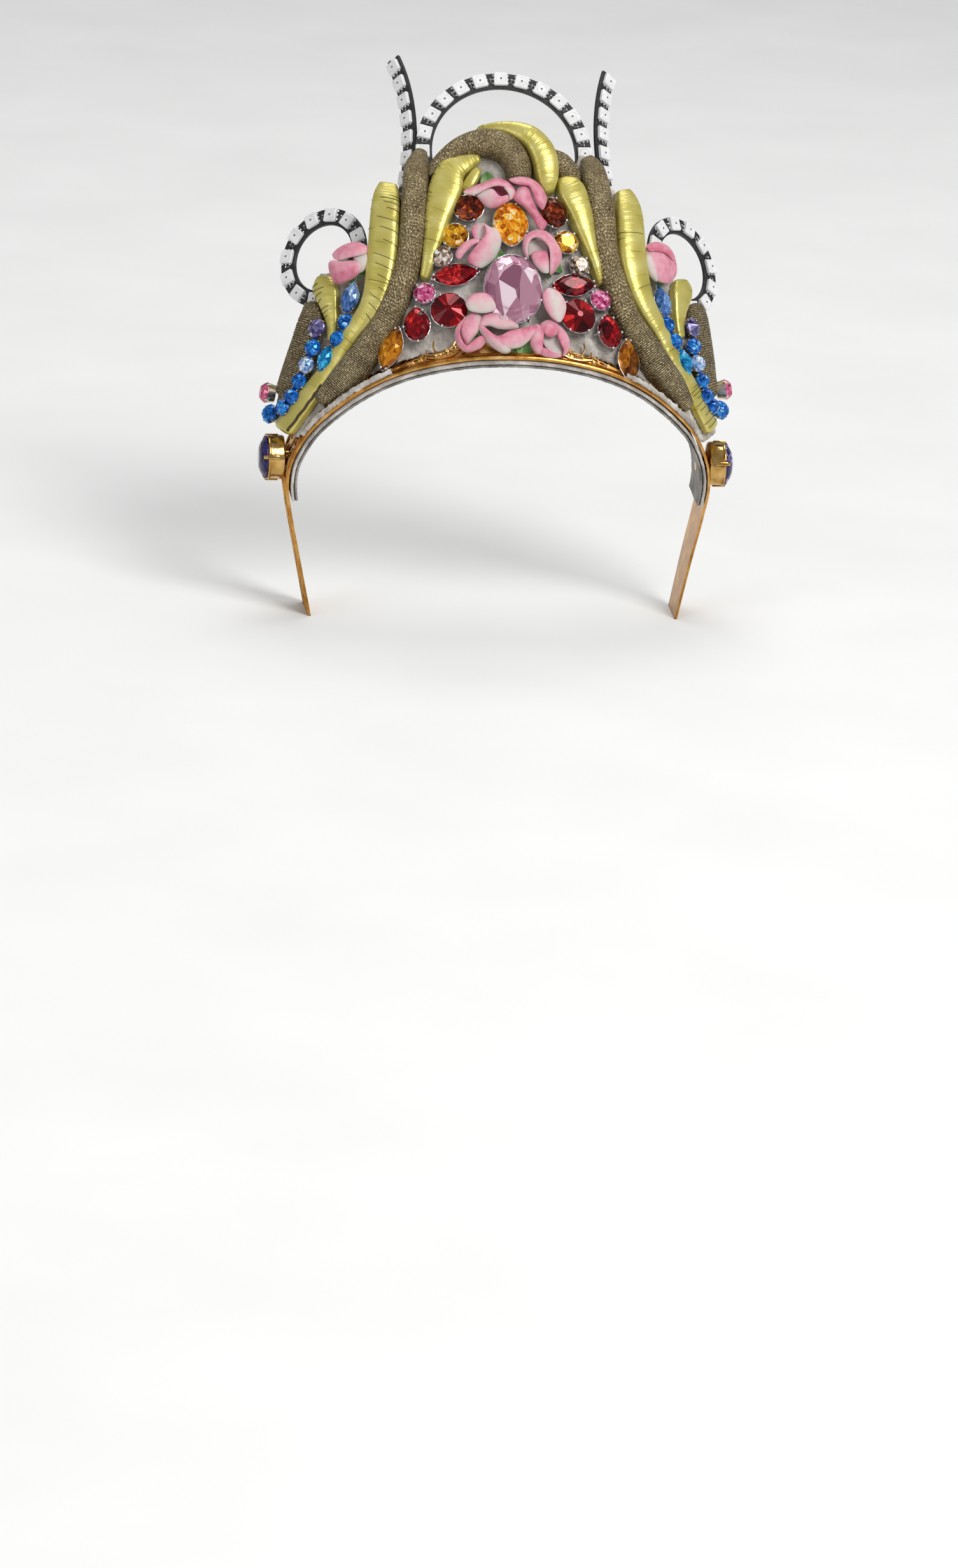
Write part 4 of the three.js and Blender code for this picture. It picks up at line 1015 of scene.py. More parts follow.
SIDE_ROWS = {                              # glass, cut, outline, left and right places, size and turn
    "inner": (-3.2, (
        ("sky", "pear", "drop", (56.5, 21.6), (58.8, 22), 7.4, 12.4, 8, 0),
        ("sapphire", "chaton", "round", (58.4, 12.5), (60.4, 13.1), 6.6, 6.6, 0, 0),
        ("sapphire", "chaton", "round", (61.2, 6.4), (63.2, 7.3), 6.6, 6.6, 0, 0),
        ("turquoise", "navette", "navette", (65.8, -0.8), (67.2, 0), 10.6, 6.2, 104, 0),
    )),
    "outer": (-2.6, (
        ("violet", "rivoli", "round", (68.6, 10), (71.6, 12.4), 7.2, 7.4, 0, 0),
        ("sapphire", "chaton", "round", (70, 3), (71.4, 5.5), 6.6, 6.8, 0, 0),
        ("ice", "chaton", "round", (72.3, -3.2), (72.9, -0.7), 6.6, 6.8, 0, 0),
        ("sapphire", "chaton", "round", (74.9, -9.1), (74.5, -6.9), 6.2, 6.4, 0, 0),
        ("sapphire", "chaton", "round", (77.4, -14.6), (76.3, -12.4), 6.2, 6.4, 0, 0),
        ("sapphire", "chaton", "round", (80.4, -18.6), (78.9, -16), 6.2, 6.4, 0, 0),
        ("sapphire", "chaton", "round", (84.6, -21.2), (83.2, -17.6), 7, 7.2, 0, -12),
    )),
}
SIDE_STONE = {"left": (85, -13.8), "right": (84.8, -10.4)}
SIDE_STONE_SIZE = (6.8, 7.6)
SIDE_STONE_DEPTH = 3.2
SIDE_STONE_SWING = 16
SIDE_STONE_CROWN = 1.2

for side, sign in SIDES:
    for row, (base, stones) in SIDE_ROWS.items():
        glasses, cups = [], []
        for count, (glass, cut, outline, left, right, width, height, turn, swing) in enumerate(stones):
            x, z = left if side == "left" else right
            where = seat(sign * x, z, sign * turn, swing, -CROWN_HEIGHT)
            stone, cup = set_crystal(f"{row}_{side}_{count}", glass, cut, outline, where, width, height,
                                     -CROWN_HEIGHT - base + 0.8, FOUR, pale_gold, 0.62)
            glasses.append(stone)
            cups.append(cup)
        settle(joined(f"row_{row}_{side}_glass", glasses), "blue_stone", f"stone_row_{row}_{side}")
        settle(joined(f"row_{row}_{side}_cups", cups), "gilt_metal")
    x, z = SIDE_STONE[side]
    where = seat(sign * x, z, 0, SIDE_STONE_SWING, SIDE_STONE_CROWN - CROWN_HEIGHT)
    stone, cup = set_crystal("side_rose_" + side, "rose", "chaton", "round", where, *SIDE_STONE_SIZE,
                             SIDE_STONE_DEPTH, FOUR, pale_gold, 0.7)
    settle(stone, "rose_stone", "stone_side_" + side)
    settle(cup, "gilt_metal")


# ---------------------------------------------------------------- the bezels at the temples
# A large violet crystal in a turned gilt cup stands out from the band on a short post at each temple.
# Four flat claws are soldered to the cup's wall and folded over the stone.

# Yellow gold plate, polished: brighter and less red than the band.
yellow_gold = mottled("yellow_gold_plate", "#c9a05a", 0.16, 1.0, 4, (0.3, "#a87c3c"), (0.7, "#dcb876"),
                      dents=(0.3, 0.5), Detail=3)

BEZEL_RADIUS = 8
BEZEL_CUP = 5.4
BEZEL_PLACE = {"left": (-78.4, 34, -37), "right": (77.2, 34, -37.4)}
GLASS["tanzanite"] = crystal("deep_tanzanite_crystal", "#0b0820", "#1e1744", "#3c3272", "#b4acd8", 5)
tanzanite_cut = cut_glass("tanzanite_cut", 16, ((-1.5, 0.6, False), (0, 0.96, False), (0.5, 0.96, False),
                                                 (1.5, 0.84, True), (2.4, 0.66, True),
                                                 (3.0, 0.45, True)), (0.5,))
for side, sign in SIDES:
    x, y, z = BEZEL_PLACE[side]
    outward_way = Vector((sign, 0, 0))
    back = Vector((0, sign, 0))
    where = Matrix.Translation((x, y, z)) @ Matrix((back, Vector((0, 0, 1)), outward_way)) \
        .transposed().to_4x4()
    bpy.ops.mesh.primitive_circle_add(vertices=20, radius=2.6, fill_type="NGON", location=(0, 0, -4.8))
    cup = named("bezel_cup_" + side + "_metal", yellow_gold)
    bpy.ops.object.transform_apply(location=True)
    wall = ((3.6, 1.0), (0.7, 0.97 * BEZEL_RADIUS / 2.6), (0.7, 1.03), (4.2, 1.0), (0.25, 1.035),
            (0.55, 1.0), (0.15, 0.97), (-0.5, 0.93))
    with editing():
        for rise, wide in wall:
            extrude(rise, wide)
    apply(cup, "BEVEL", width=0.15, segments=2, limit_method="ANGLE")
    outward(cup)
    smooth(cup, 25)
    cup.data.transform(where)
    claws = []
    for count in range(4):
        bpy.ops.mesh.primitive_cube_add(size=1)
        claw = named("bezel_claw", yellow_gold)
        for vertex in claw.data.vertices:
            top = vertex.co.z > 0
            outer = vertex.co.x > 0
            vertex.co.x = BEZEL_RADIUS + (0.4 if outer else -0.1)
            vertex.co.y *= 1.3
            vertex.co.z = BEZEL_CUP + 0.5 if top else 1.5
        bpy.ops.object.mode_set(mode="EDIT")
        bpy.ops.mesh.select_all(action="DESELECT")
        bpy.ops.object.mode_set(mode="OBJECT")
        for face in claw.data.polygons:
            face.select = face.normal.z > 0.9
        bpy.ops.object.mode_set(mode="EDIT")
        bpy.ops.mesh.select_mode(type="FACE")
        bpy.ops.mesh.extrude_region_move(TRANSFORM_OT_translate={"value": (-1.6, 0, 1.1)})
        bpy.ops.mesh.select_mode(type="VERT")
        bpy.ops.object.mode_set(mode="OBJECT")
        apply(claw, "BEVEL", width=0.2, segments=2)
        outward(claw)
        smooth(claw, 40)
        claw.data.transform(where @ Matrix.Rotation(math.radians(90 * count), 4, "Z"))
        claws.append(claw)
    settle(joined("bezel_" + side + "_metal", [cup] + claws), "gilt_metal", "bezel_cup_" + side)
    stone = copy_of(tanzanite_cut, "bezel_glass_" + side)
    stone.data.materials.append(GLASS["tanzanite"])
    chance = random.Random("bezel_" + side)
    # The facets get random tones: painted reflections.
    facet_painted_light = stone.data.attributes.new("facet_painted_light", "FLOAT", "FACE")
    for value in facet_painted_light.data:
        value.value = chance.random()
    stone.data.transform(where @ Matrix.Translation((0, 0, BEZEL_CUP))
                         @ Matrix.Diagonal((BEZEL_RADIUS, BEZEL_RADIUS, 1, 1)))
    settle(stone, "violet_stone", "bezel_stone_" + side)

for model in [*CUTS.values(), tanzanite_cut, cup_model, claw_model]:
    bpy.data.objects.remove(model)


# ---------------------------------------------------------------- the lamp strips
# Black curved circuit boards with square white lamps soldered along them: an arch over the crown, a
# ring at each side, and a horn beside each end of the arch. They are tied to the back of the felt.

BOARD_THICK = 1.2
LAMP_SIDE = 5.0
LAMP_TALL = 1.5

# Glass-fibre board with a black solder mask: satin, with the weave just showing.
board_mask = mottled("black_solder_mask", "#1b1b1d", 0.38, 0.0, 0.9,
                     (0.35, "#121213"), (0.7, "#2c2c2f"), Detail=3)
# Moulded white polymer of a lamp's body: bright, satin and slightly uneven.
lamp_white = mottled("white_lamp_body", "#ececea", 0.42, 0.0, 3, (0.3, "#dadada"), (0.7, "#ececec"))
# Clear silicone over the lamp's chips, seen as a pale grey disc.
silicone = mottled("clear_silicone_lens", "#d3d3cf", 0.18, 0.0, 1.2, (0.3, "#d2d2ce"), (0.7, "#e8e8e6"))
# The chip itself, and tin solder: bright, soft-edged metal.
chip = mottled("lamp_chip", "#4c4a45", 0.4, 0.0, 0.3, (0.3, "#35332f"), (0.7, "#6a675f"))
solder = mottled("tin_solder", "#d6d6d8", 0.3, 1.0, 0.5, shine=(0.2, 0.5))


def block(name, size, at, material, bevel):
    """A small moulded block with softened edges."""
    bpy.ops.mesh.primitive_cube_add(size=1, location=at)
    piece = named(name, material)
    bpy.ops.transform.resize(value=size)
    bpy.ops.object.transform_apply(location=True, rotation=False, scale=True)
    apply(piece, "BEVEL", width=bevel, segments=1)
    return piece


def disc(name, radius, height, material, rim=0.0):
    """A shallow disc at the lamp's middle, its face sunk inside a rim if one is given."""
    bpy.ops.mesh.primitive_circle_add(vertices=18, radius=radius, fill_type="NGON",
                                      location=(0, 0, height))
    piece = named(name, material)
    bpy.ops.object.transform_apply(location=True)
    with editing():
        extrude(0.12)
        if rim:
            bpy.ops.transform.resize(value=(1 - rim, 1 - rim, 1), center_override=(0, 0, 0))
            extrude(-0.1, 0.95)
    return piece


lamp_top = BOARD_THICK + LAMP_TALL
lamp_parts = [
    block("lamp_body", (LAMP_SIDE, LAMP_SIDE, LAMP_TALL), (0, 0, BOARD_THICK + LAMP_TALL / 2 - 0.1),
          lamp_white, 0.25),
    disc("lamp_lens", 1.95, lamp_top - 0.14, silicone, 0.08),
    disc("lamp_chip", 0.34, lamp_top - 0.08, chip),
]
for along in (-1, 1):
    for across in (-1.5, 0.1, 1.6):
        lamp_parts.append(block("solder", (0.8, 0.7, 0.5), (across, along * 2.75, BOARD_THICK + 0.15),
                                solder, 0.2))
lamp_parts.append(block("capacitor", (1.5, 0.7, 0.5), (-1.0, 3.75, BOARD_THICK + 0.2), chip, 0.1))
lamp_parts.append(block("capacitor_end", (0.4, 0.75, 0.55), (0.0, 3.75, BOARD_THICK + 0.2), solder, 0.1))
lamp_model = joined("lamp_model", lamp_parts)


def lamp_angles(first, last, by):
    return [first + by * count for count in range(round((last - first) / by) + 1)]


BOARDS = (
    {"name": "lamp_arch", "radius": 29.6, "span": (-16, 196), "lamps": lamp_angles(0, 180, 15),
     "at": (1.8, 45.5, 73.1), "lean": 24},
    {"name": "lamp_ring_left", "radius": 16, "span": (0, 360), "lamps": lamp_angles(0, 330, 30),
     "at": (-62.1, 49.8, 34.7), "lean": 17, "face": -42},
    {"name": "lamp_ring_right", "radius": 16, "span": (0, 360), "lamps": lamp_angles(0, 330, 30),
     "at": (68.5, 52.9, 33.8), "lean": 17, "face": 42},
    {"name": "lamp_horn_left", "radius": 74, "span": (-18, 25), "lamps": lamp_angles(-13.8, 22.2, 6),
     "flush": -1, "at": (-31.4, 52.7, 80.5), "lean": 24, "swing": -50, "pivot": -74},
    {"name": "lamp_horn_right", "radius": 74, "span": (156.5, 198), "lamps": lamp_angles(159, 195, 6),
     "flush": -1, "at": (37.8, 50.2, 77.5), "lean": 24, "swing": 40, "pivot": 74},
)


def lamp_board(radius, span, lamps, at, lean, name, flush=1, face=0, swing=0, pivot=0):
    """One board with its lamps: a curved strip, wider on the side away from the lamps' flush edge."""
    outer = radius + (2.6 if flush > 0 else 3.5)
    inner = radius - (3.5 if flush > 0 else 2.6)
    start, end = math.radians(span[0]), math.radians(span[1])
    steps = max(int((end - start) * radius / 1.6), 24)
    bpy.ops.mesh.primitive_grid_add(x_subdivisions=steps, y_subdivisions=2, size=1)
    board = named(name + "_board", board_mask)
    for vertex in board.data.vertices:
        angle = start + (vertex.co.x + 0.5) * (end - start)
        reach = inner + (vertex.co.y + 0.5) * (outer - inner)
        vertex.co = (reach * math.cos(angle), reach * math.sin(angle), BOARD_THICK / 2)
    outward(board)
    apply(board, "SOLIDIFY", thickness=BOARD_THICK, offset=0)
    outward(board)
    apply(board, "BEVEL", width=0.12, segments=1, limit_method="ANGLE")
    parts = [board]
    for angle in lamps:
        lamp = copy_of(lamp_model, "lamp")
        lamp.data.transform(Matrix.Rotation(math.radians(angle), 4, "Z")
                            @ Matrix.Translation((radius, 0, 0)))
        parts.append(lamp)
    strip = joined(name + "_strip", parts)
    smooth(strip, 30)
    strip.data.transform(
        Matrix.Translation(at)
        @ Matrix.Rotation(math.radians(face), 4, "Z")
        @ Matrix.Rotation(math.radians(90 - lean), 4, "X")
        @ Matrix.Rotation(math.radians(swing), 4, "Y")
        @ Matrix.Translation((pivot, 0, 0)))
    return settle(strip, "lamp_board", name)


for board in BOARDS:
    lamp_board(**board)
bpy.data.objects.remove(lamp_model)


# ---------------------------------------------------------------- the roses
# Small roses of stiffened, furry cloth, dyed pink and left white in places. Each is a few petals
# pressed into folds and glued one over the other, with green leaves glued round the back.


def dyed(name, deep, mid, pale, roughness=0.75):
    """Stiffened cloth with a dye that bleeds from the middle of a petal towards its edge."""
    finish = Finish(name, mid, roughness, Sheen_Weight=0.25, Sheen_Roughness=0.5)
    blush = finish.add("Attribute", attribute_name="blush")
    bleed = finish.clouds(grain(2.4), Detail=3)
    fluff = finish.clouds(grain(0.35), Detail=4, Roughness=0.7)
    level = finish.work("ADD", blush, finish.span(bleed, 0.3, 0.7, -0.16, 0.16))
    return finish.feed(Base_Color=finish.ramp(level, (0.05, pale), (0.5, mid), (0.95, deep)),
                       Normal=finish.bump(fluff, 0.5, 0.25))


# Fabric petals: soft, matt and slightly furry; pink where the dye took, cream where it did not.
petal_cloth = dyed("dyed_petal_cloth", "#c25c76", "#dc9aa8", "#cec5be")
# Leaf cloth: muted green, yellower where it is thin.
leaf_cloth = dyed("green_leaf_cloth", "#35602a", "#5f8846", "#98b278")

STRAIGHT_OUT = Vector((-0.13, -0.99, 0))   # the way the roses were pulled open, to the front
PETAL_ROWS = 16
PETAL_CELLS = 8


def petal(name, where, dye, folds):
    """A pressed petal between two edges. Each fold gives an edge, the other edge, how far the cloth
    swells between them, and how much paler it is there. dye is the pink at one edge, the middle and
    the other edge."""
    bpy.ops.mesh.primitive_grid_add(x_subdivisions=PETAL_CELLS, y_subdivisions=PETAL_ROWS, size=1)
    piece = named(name, petal_cloth)
    blush = piece.data.attributes.new("blush", "FLOAT", "POINT")
    for vertex, shade in zip(piece.data.vertices, blush.data):
        share, across = vertex.co.y + 0.5, vertex.co.x + 0.5
        x1, z1, lift1, x2, z2, lift2, swell, paler = along_rows(folds, share)
        open_here = min(min(share, 1 - share) / 0.09 + 0.2, 1) ** 0.5
        across_here = 0.5 + (across - 0.5) * open_here
        x, z = x1 + (x2 - x1) * across_here, z1 + (z2 - z1) * across_here
        lift = lift1 + (lift2 - lift1) * across_here + swell * math.sin(math.pi * across) * open_here
        rim = max(abs(across - 0.5) * 2 - 0.7, 0) / 0.3
        lift -= 0.5 * rim ** 2
        vertex.co = where @ Vector((x, z, 0)) + STRAIGHT_OUT * lift
        low, high = (dye[0], dye[1]) if across < 0.5 else (dye[1], dye[2])
        shade.value = low + (high - low) * (across * 2 % 1 if across < 1 else 1) - paler
    apply(piece, "SOLIDIFY", thickness=0.55, offset=0)
    apply(piece, "SUBSURF", levels=1, render_levels=1)
    smooth(piece)
    return piece


def leaf(name, where, long, wide, turn, droop=0.25):
    """A pointed leaf that starts at the rose's back and lies out along the felt."""
    bpy.ops.mesh.primitive_grid_add(x_subdivisions=8, y_subdivisions=6, size=2)
    piece = named(name, leaf_cloth)
    blush = piece.data.attributes.new("blush", "FLOAT", "POINT")
    for vertex, dye in zip(piece.data.vertices, blush.data):
        along = (vertex.co.x + 1) / 2
        side = vertex.co.y
        half = wide / 2 * math.sin(math.pi * (0.1 + 0.88 * along)) ** 0.8
        dye.value = 0.75 - 0.5 * abs(side) + 0.15 * math.sin(9 * along)
        vertex.co = (long * along, side * half, 0.5 * abs(side) - droop * long * along ** 2)
    apply(piece, "SOLIDIFY", thickness=0.35, offset=0)
    apply(piece, "SUBSURF", levels=1, render_levels=1)
    smooth(piece)
    piece.data.transform(where @ Matrix.Rotation(math.radians(turn), 4, "Z"))
    return piece


# Each rose: where it sits on the crown's face, its petals from the back to the front, and its leaves.
# A petal is its dye and its folds; a fold's columns are across, up and lift of one edge, then of the
# other edge, then swell and paler. A leaf's columns are turn, length and width.
ROSES = {
    "rose_top_left": ((-5.4, 59.6, -3), (
        # Its first petal is a deep pink sheet set far back in the rose's hollow: painted shade for the
        # shadowed inside.
        ((1.0, 1.0, 1.0), ((1, 3, 1.4, 1, -3, 1.4, -0.5, 0), (7.5, 3, 1.4, 7.5, -2, 1.4, -0.5, 0))),
        ((0.45, 0.35, 0.75), (
            (-5, -0.6, 2.5, -4.4, -1.6, 2, 0.3, 0), (-2, 1.2, 4.2, -2.2, -4.6, 2, 1, 0.2),
            (1, 1.8, 5, 0.6, -5.9, 2.4, 1.3, 0.1), (3.6, -1.2, 5.5, 3.8, -4.6, 3, 1, -0.2),
            (7.8, 0.4, 4.2, 7.9, -2, 3, 0.4, 0))),
        ((0.95, 0.6, 0.4), (
            (-9.8, 0.7, 2, -9.4, -0.4, 2.4, 0.1, 0.2), (-6, 2.6, 2.6, -5.6, -0.8, 4, 0.5, 0.2),
            (-2.3, 4.1, 3, -1.6, 1.5, 5, 0.7, 0), (2.3, 6.1, 3, 2.4, 3, 5.6, 0.8, -0.1),
            (6.9, 4.4, 3, 5.5, 2.4, 5.6, 0.7, 0), (9.2, 1.4, 2.5, 8, 0.4, 4.6, 0.3, 0))),
        ((0.75, 0.3, 0.2), (
            (5.4, 2.8, 4.4, 5, 2.2, 4.8, 0.2, 0), (7.8, 2.4, 4.4, 6, 1, 5.6, 0.6, 0),
            (9, 0.6, 4, 6.8, -0.6, 5.6, 0.6, 0.1), (7.6, -2.4, 3.4, 6.8, -2, 4.4, 0.2, 0))),
    ), ((96, 9.5, 6),)),
    "rose_top_right": ((9.0, 58.2, -2.5), (
        ((0.75, 0.6, 0.95), (
            (-3, 4.8, 2.6, 0.3, 4.6, 3.6, 1, 0.1), (-5.2, 2, 2.8, 0.8, 1.6, 4.2, 1.6, 0.1),
            (-6, -0.8, 2.8, 1.8, -1.9, 4.2, 1.7, 0), (-2.4, -3.4, 3.2, 2.6, -4.8, 4, 1.5, -0.1),
            (0.2, -6.8, 3, 4.6, -8.2, 3.2, 1.2, -0.1), (1.4, -9.8, 2.6, 6, -10, 2.6, 0.9, -0.1),
            (3.2, -12.6, 2.2, 4.2, -12.6, 2.2, 0.1, 0))),
        ((0.8, 0.6, 0.95), (
            (-7.4, 6.9, 2.4, -6.8, 6.2, 3.4, 0.2, 0.1), (-5, 7.6, 2.6, -4.6, 5, 5, 0.8, 0.1),
            (-2.4, 8, 2.8, -2, 4.7, 5.4, 1, 0), (1, 7.4, 2.8, 0.3, 4.2, 5.6, 1, 0),
            (4.4, 4.8, 2.8, 1.3, 1.6, 5.6, 1, 0), (6.2, 1, 2.6, 2, -0.8, 5.4, 1, 0),
            (6.3, -1.4, 2.4, 2.8, -2.8, 5, 0.8, 0), (4.8, -4.6, 2.2, 4.2, -4.8, 3.4, 0.1, 0))),
    ), ()),
    "rose_middle_left": ((-9.2, 40.4, -3), (
        ((0.9, 0.0, 0.6), (
            (-2.8, 3, 1.5, 1, 2.8, 1.5, -0.8, 0), (-3.7, 6, 1.8, 2.5, 6, 1.8, -1, 0),
            (-2.8, 8.4, 2.2, 1.3, 9.3, 2.2, -0.6, 0))),
        ((0.9, 0.4, 0.7), (
            (-9.5, -3.9, 2.4, -7.8, -5.4, 3.6, 0.4, 0), (-8.8, -1.4, 2.8, -6.4, -3.2, 4.6, 0.8, 0),
            (-6.5, 1.3, 3, -4.4, -0.8, 4.8, 0.9, 0), (-3.2, 2.9, 3.2, -2.6, 0.8, 4.8, 0.7, 0),
            (-0.6, 3, 3.2, -0.8, 1.4, 4.4, 0.3, 0))),
        ((0.0, 0.3, 0.95), (
            (1.2, 8.8, 2.5, 1, 8.2, 3, 0.1, 0), (3.4, 7.4, 2.5, 1.6, 5.8, 4.6, 0.6, 0),
            (5.6, 7.3, 2.5, 0.9, 3.8, 5.2, 1.2, 0), (7, 4.8, 2.4, -0.8, 1.8, 5.6, 1.6, 0),
            (7.2, 1.8, 2.2, -2.6, -0.6, 5.6, 1.8, 0), (6.3, -1.4, 2, -4.4, -3, 5, 1.6, 0),
            (4.6, -4.8, 1.6, -5.4, -5.6, 3.8, 1.2, 0), (0.6, -8.6, 1.2, -2.6, -7.8, 2.2, 0.3, 0.3))),
    ), ((-62, 9.5, 6), (-20, 9, 5.5), (-100, 8, 5))),
    "rose_middle_right": ((12.6, 38.2, -3), (
        ((0.1, 0.05, 0.2), ((-5, -1, 1.5, 3, -1, 1.5, -0.8, 0), (-4.6, 5.4, 1.5, 3, 5, 1.5, -0.8, 0))),
        ((0.6, 0.75, 0.7), (
            (-3.2, 0.8, 3, 2.6, 1.4, 3.2, 0.6, 0), (-3.6, -1.8, 3.6, 3, -1.4, 3.8, 1.3, 0),
            (-2.4, -4.8, 3.4, 2.9, -4.6, 3.6, 1.3, 0.35), (-0.2, -7.2, 2.6, 2.4, -7.6, 2.6, 0.6, 0.7))),
        ((0.5, 0.65, 0.4), (
            (-5.2, -2.4, 2, -4.4, -2, 3, 0.2, 0), (-6.7, 1.2, 2.2, -5, 1.6, 4.4, 0.6, 0.2),
            (-5.8, 5.8, 2.4, -3.8, 4.9, 5, 0.8, 0.1), (-3.3, 8.5, 2.6, -1.8, 6.4, 5.2, 0.9, 0),
            (0, 9.5, 2.6, 0.4, 5.9, 5.4, 1, -0.1), (3, 8.6, 2.6, 1.9, 4.4, 5.6, 1, -0.1),
            (5.4, 6, 2.6, 3.2, 2.4, 5.6, 1, 0), (7.2, 2.6, 2.4, 3.3, -0.4, 5.4, 1.1, 0),
            (7.8, -0.8, 2.2, 3.1, -3, 5, 1.1, 0), (6.4, -4.4, 2, 2.9, -6, 4.2, 0.9, 0),
            (3, -8.5, 1.8, 2.6, -8, 2.4, 0.1, 0))),
    ), ((-38, 10, 6), (-68, 9, 5))),
    "rose_bottom_left": ((-12.2, 10.2, -3), (
        ((0.7, 0.55, 0.2), (
            (-1.6, 7.4, 2, 1.2, 7.4, 2, 0.4, 0.1), (-4.8, 4, 2.6, 2, 4, 2.6, 1.3, 0),
            (-5.9, 0.6, 3, 1, 0.4, 3, 1.5, 0), (-5.3, -2.6, 3, -1, -2.6, 3, 1.1, 0),
            (-3.8, -5.2, 2.6, -3, -5.2, 2.6, 0.2, 0))),
        ((0.5, 0.6, 0.9), (
            (-4, 5.2, 2, -3.8, 4.6, 3, 0.2, 0), (-6.9, 1.8, 2, -5.7, 1.4, 4.2, 0.5, 0),
            (-7.6, -1.2, 2, -5.8, -1.4, 4.8, 0.7, 0), (-7.2, -4.4, 2, -4.9, -3.8, 5, 0.8, 0),
            (-5.4, -7, 2, -3.9, -5.2, 5, 0.8, 0), (-3.2, -8.1, 2, -2.8, -5.4, 5, 0.8, 0),
            (-0.2, -7.4, 2, -0.9, -3.4, 5, 0.9, 0), (2.4, -5.8, 2, 1, -2, 4.6, 0.7, 0),
            (3.3, -3.6, 2, 2.4, -1.6, 3.6, 0.2, 0))),
    ), ((-120, 7, 5),)),
    "rose_bottom_middle": ((2.6, 8.2, -3), (
        ((0.8, 0.35, 0.1), (
            (-13.8, 5.2, 2, -12.8, 3.6, 3, 0.3, 0), (-11.6, 8.4, 2.2, -9.8, 4.2, 3.2, 0.9, 0),
            (-8.1, 9.9, 2.4, -6.6, 3, 3.2, 1.2, 0), (-4.8, 9.2, 2.4, -3.2, 2.8, 3.2, 1.2, 0),
            (-1.4, 7.8, 2.2, -0.8, 3.1, 3.2, 1, 0), (0.6, 5.4, 2, 0.8, 3.4, 3, 0.4, 0))),
        ((0.8, 0.45, 0.05), (
            (-13.8, 4.8, 2.8, -13.5, 3, 2.4, 0.2, 0), (-12, 4.2, 4.4, -12.6, 1, 2, 0.8, 0),
            (-10.2, 2.6, 5, -10.8, -1.8, 1.8, 1.1, 0), (-8, 0.4, 5.2, -8.4, -4.4, 1.6, 1.2, 0.1),
            (-5.4, -1, 5, -4.8, -6.4, 1.4, 1, 0.3), (-2.4, -2, 3.6, -2.4, -5.6, 1.4, 0.4, 0.4))),
        ((0.95, 0.5, 0.05), (
            (-10.6, 3.4, 4, -9.8, 0.4, 3.2, 0.3, 0), (-8.4, 1, 5, -8.2, -2.4, 3, 0.8, 0),
            (-6, 0.5, 5.6, -5.4, -4.2, 3, 1, 0), (-2.9, 2.5, 5.8, -1.8, -4.4, 3, 1.2, 0),
            (0.4, 3.3, 5.6, 1.4, -3.6, 3, 1.2, 0), (3.2, 3.9, 5, 4, -1.4, 3, 1, 0),
            (5.8, 4.8, 4.4, 6, 0.8, 3, 0.8, -0.1), (7.8, 4.4, 3.6, 7.8, 2.8, 3, 0.2, -0.1))),
    ), ((-104, 9.5, 6), (-60, 10, 6), (-135, 9, 5))),
    "rose_bottom_right": ((16.2, 7.6, -3), (
        ((0.15, 0.0, 0.15), (
            (-3.4, 2.4, 2.2, 1.4, 2.4, 2.2, -0.6, 0), (-4.2, -1, 2.4, 2.4, -1.6, 2.4, -0.8, 0),
            (-3.2, -3.4, 2.6, 3.1, -4, 2.6, -0.5, 0), (-1.4, -5.4, 2.6, 2.6, -5.8, 2.6, 0, 0))),
        ((0.5, 0.75, 0.8), (
            (-4.6, 5.8, 2.2, -3.8, 2.8, 3.6, 0.4, 0.1), (-3, 7, 2.4, -2.6, 1.4, 4.6, 1, 0),
            (-1.2, 7.5, 2.6, -0.9, 0.9, 4.8, 1.3, 0), (1.3, 6.8, 2.6, 1, 1.8, 4.6, 1, 0),
            (2.4, 4.8, 2.4, 1.9, 3.4, 3.8, 0.4, 0))),
        ((0.6, 0.5, 0.9), (
            (-6.4, 6, 1.8, -4.6, 5.6, 3, 0.4, 0), (-7.9, 3, 2, -3.5, 2.8, 4.8, 1.1, 0),
            (-8.9, -0.5, 2, -4, -1, 5, 1.3, 0), (-8.2, -3.6, 2, -4.4, -3.4, 4.6, 1, 0),
            (-6.6, -5.7, 2, -4.8, -5.3, 3.4, 0.3, 0))),
        ((0.45, 0.6, 0.9), (
            (1.8, 6.1, 2, 1.5, 4.8, 3, 0.2, 0), (4.5, 3.2, 2, 1.9, 2.8, 4.8, 0.9, 0),
            (5.7, 0, 2, 1.5, 0.9, 5, 1.2, 0), (5.6, -2.6, 2, 2.5, -1.6, 5, 1.1, 0),
            (4.5, -4.9, 2, 3.3, -4, 4.4, 0.6, 0), (2.8, -6.3, 2, 2.6, -5.8, 3, 0.1, 0))),
        ((0.9, 0.6, 0.35), (
            (-4.8, -2.4, 4, -6.2, -5.4, 2, 0.3, 0), (-2.8, -3.8, 4.4, -3.8, -6.5, 2, 0.6, 0),
            (-0.3, -5.1, 4.4, -1, -7, 2, 0.6, 0), (2.4, -5.6, 3.6, 2.2, -6.5, 2, 0.3, 0.2))),
    ), ((-110, 8, 5),)),
    "rose_side_left": ((-57.4, 33.4, -3), (
        ((0.15, 0.0, 0.0), (
            (2.4, 4.6, 3, 7.6, 5.4, 1.6, 0.4, 0), (2, 2.4, 3.6, 8.9, 2.8, 1.8, 1, 0),
            (2.6, 0.4, 3.8, 8.7, -0.2, 1.8, 1, 0), (3.6, -2.4, 3.4, 5.8, -3.4, 1.8, 0.3, 0))),
        ((0.5, 0.75, 0.85), (
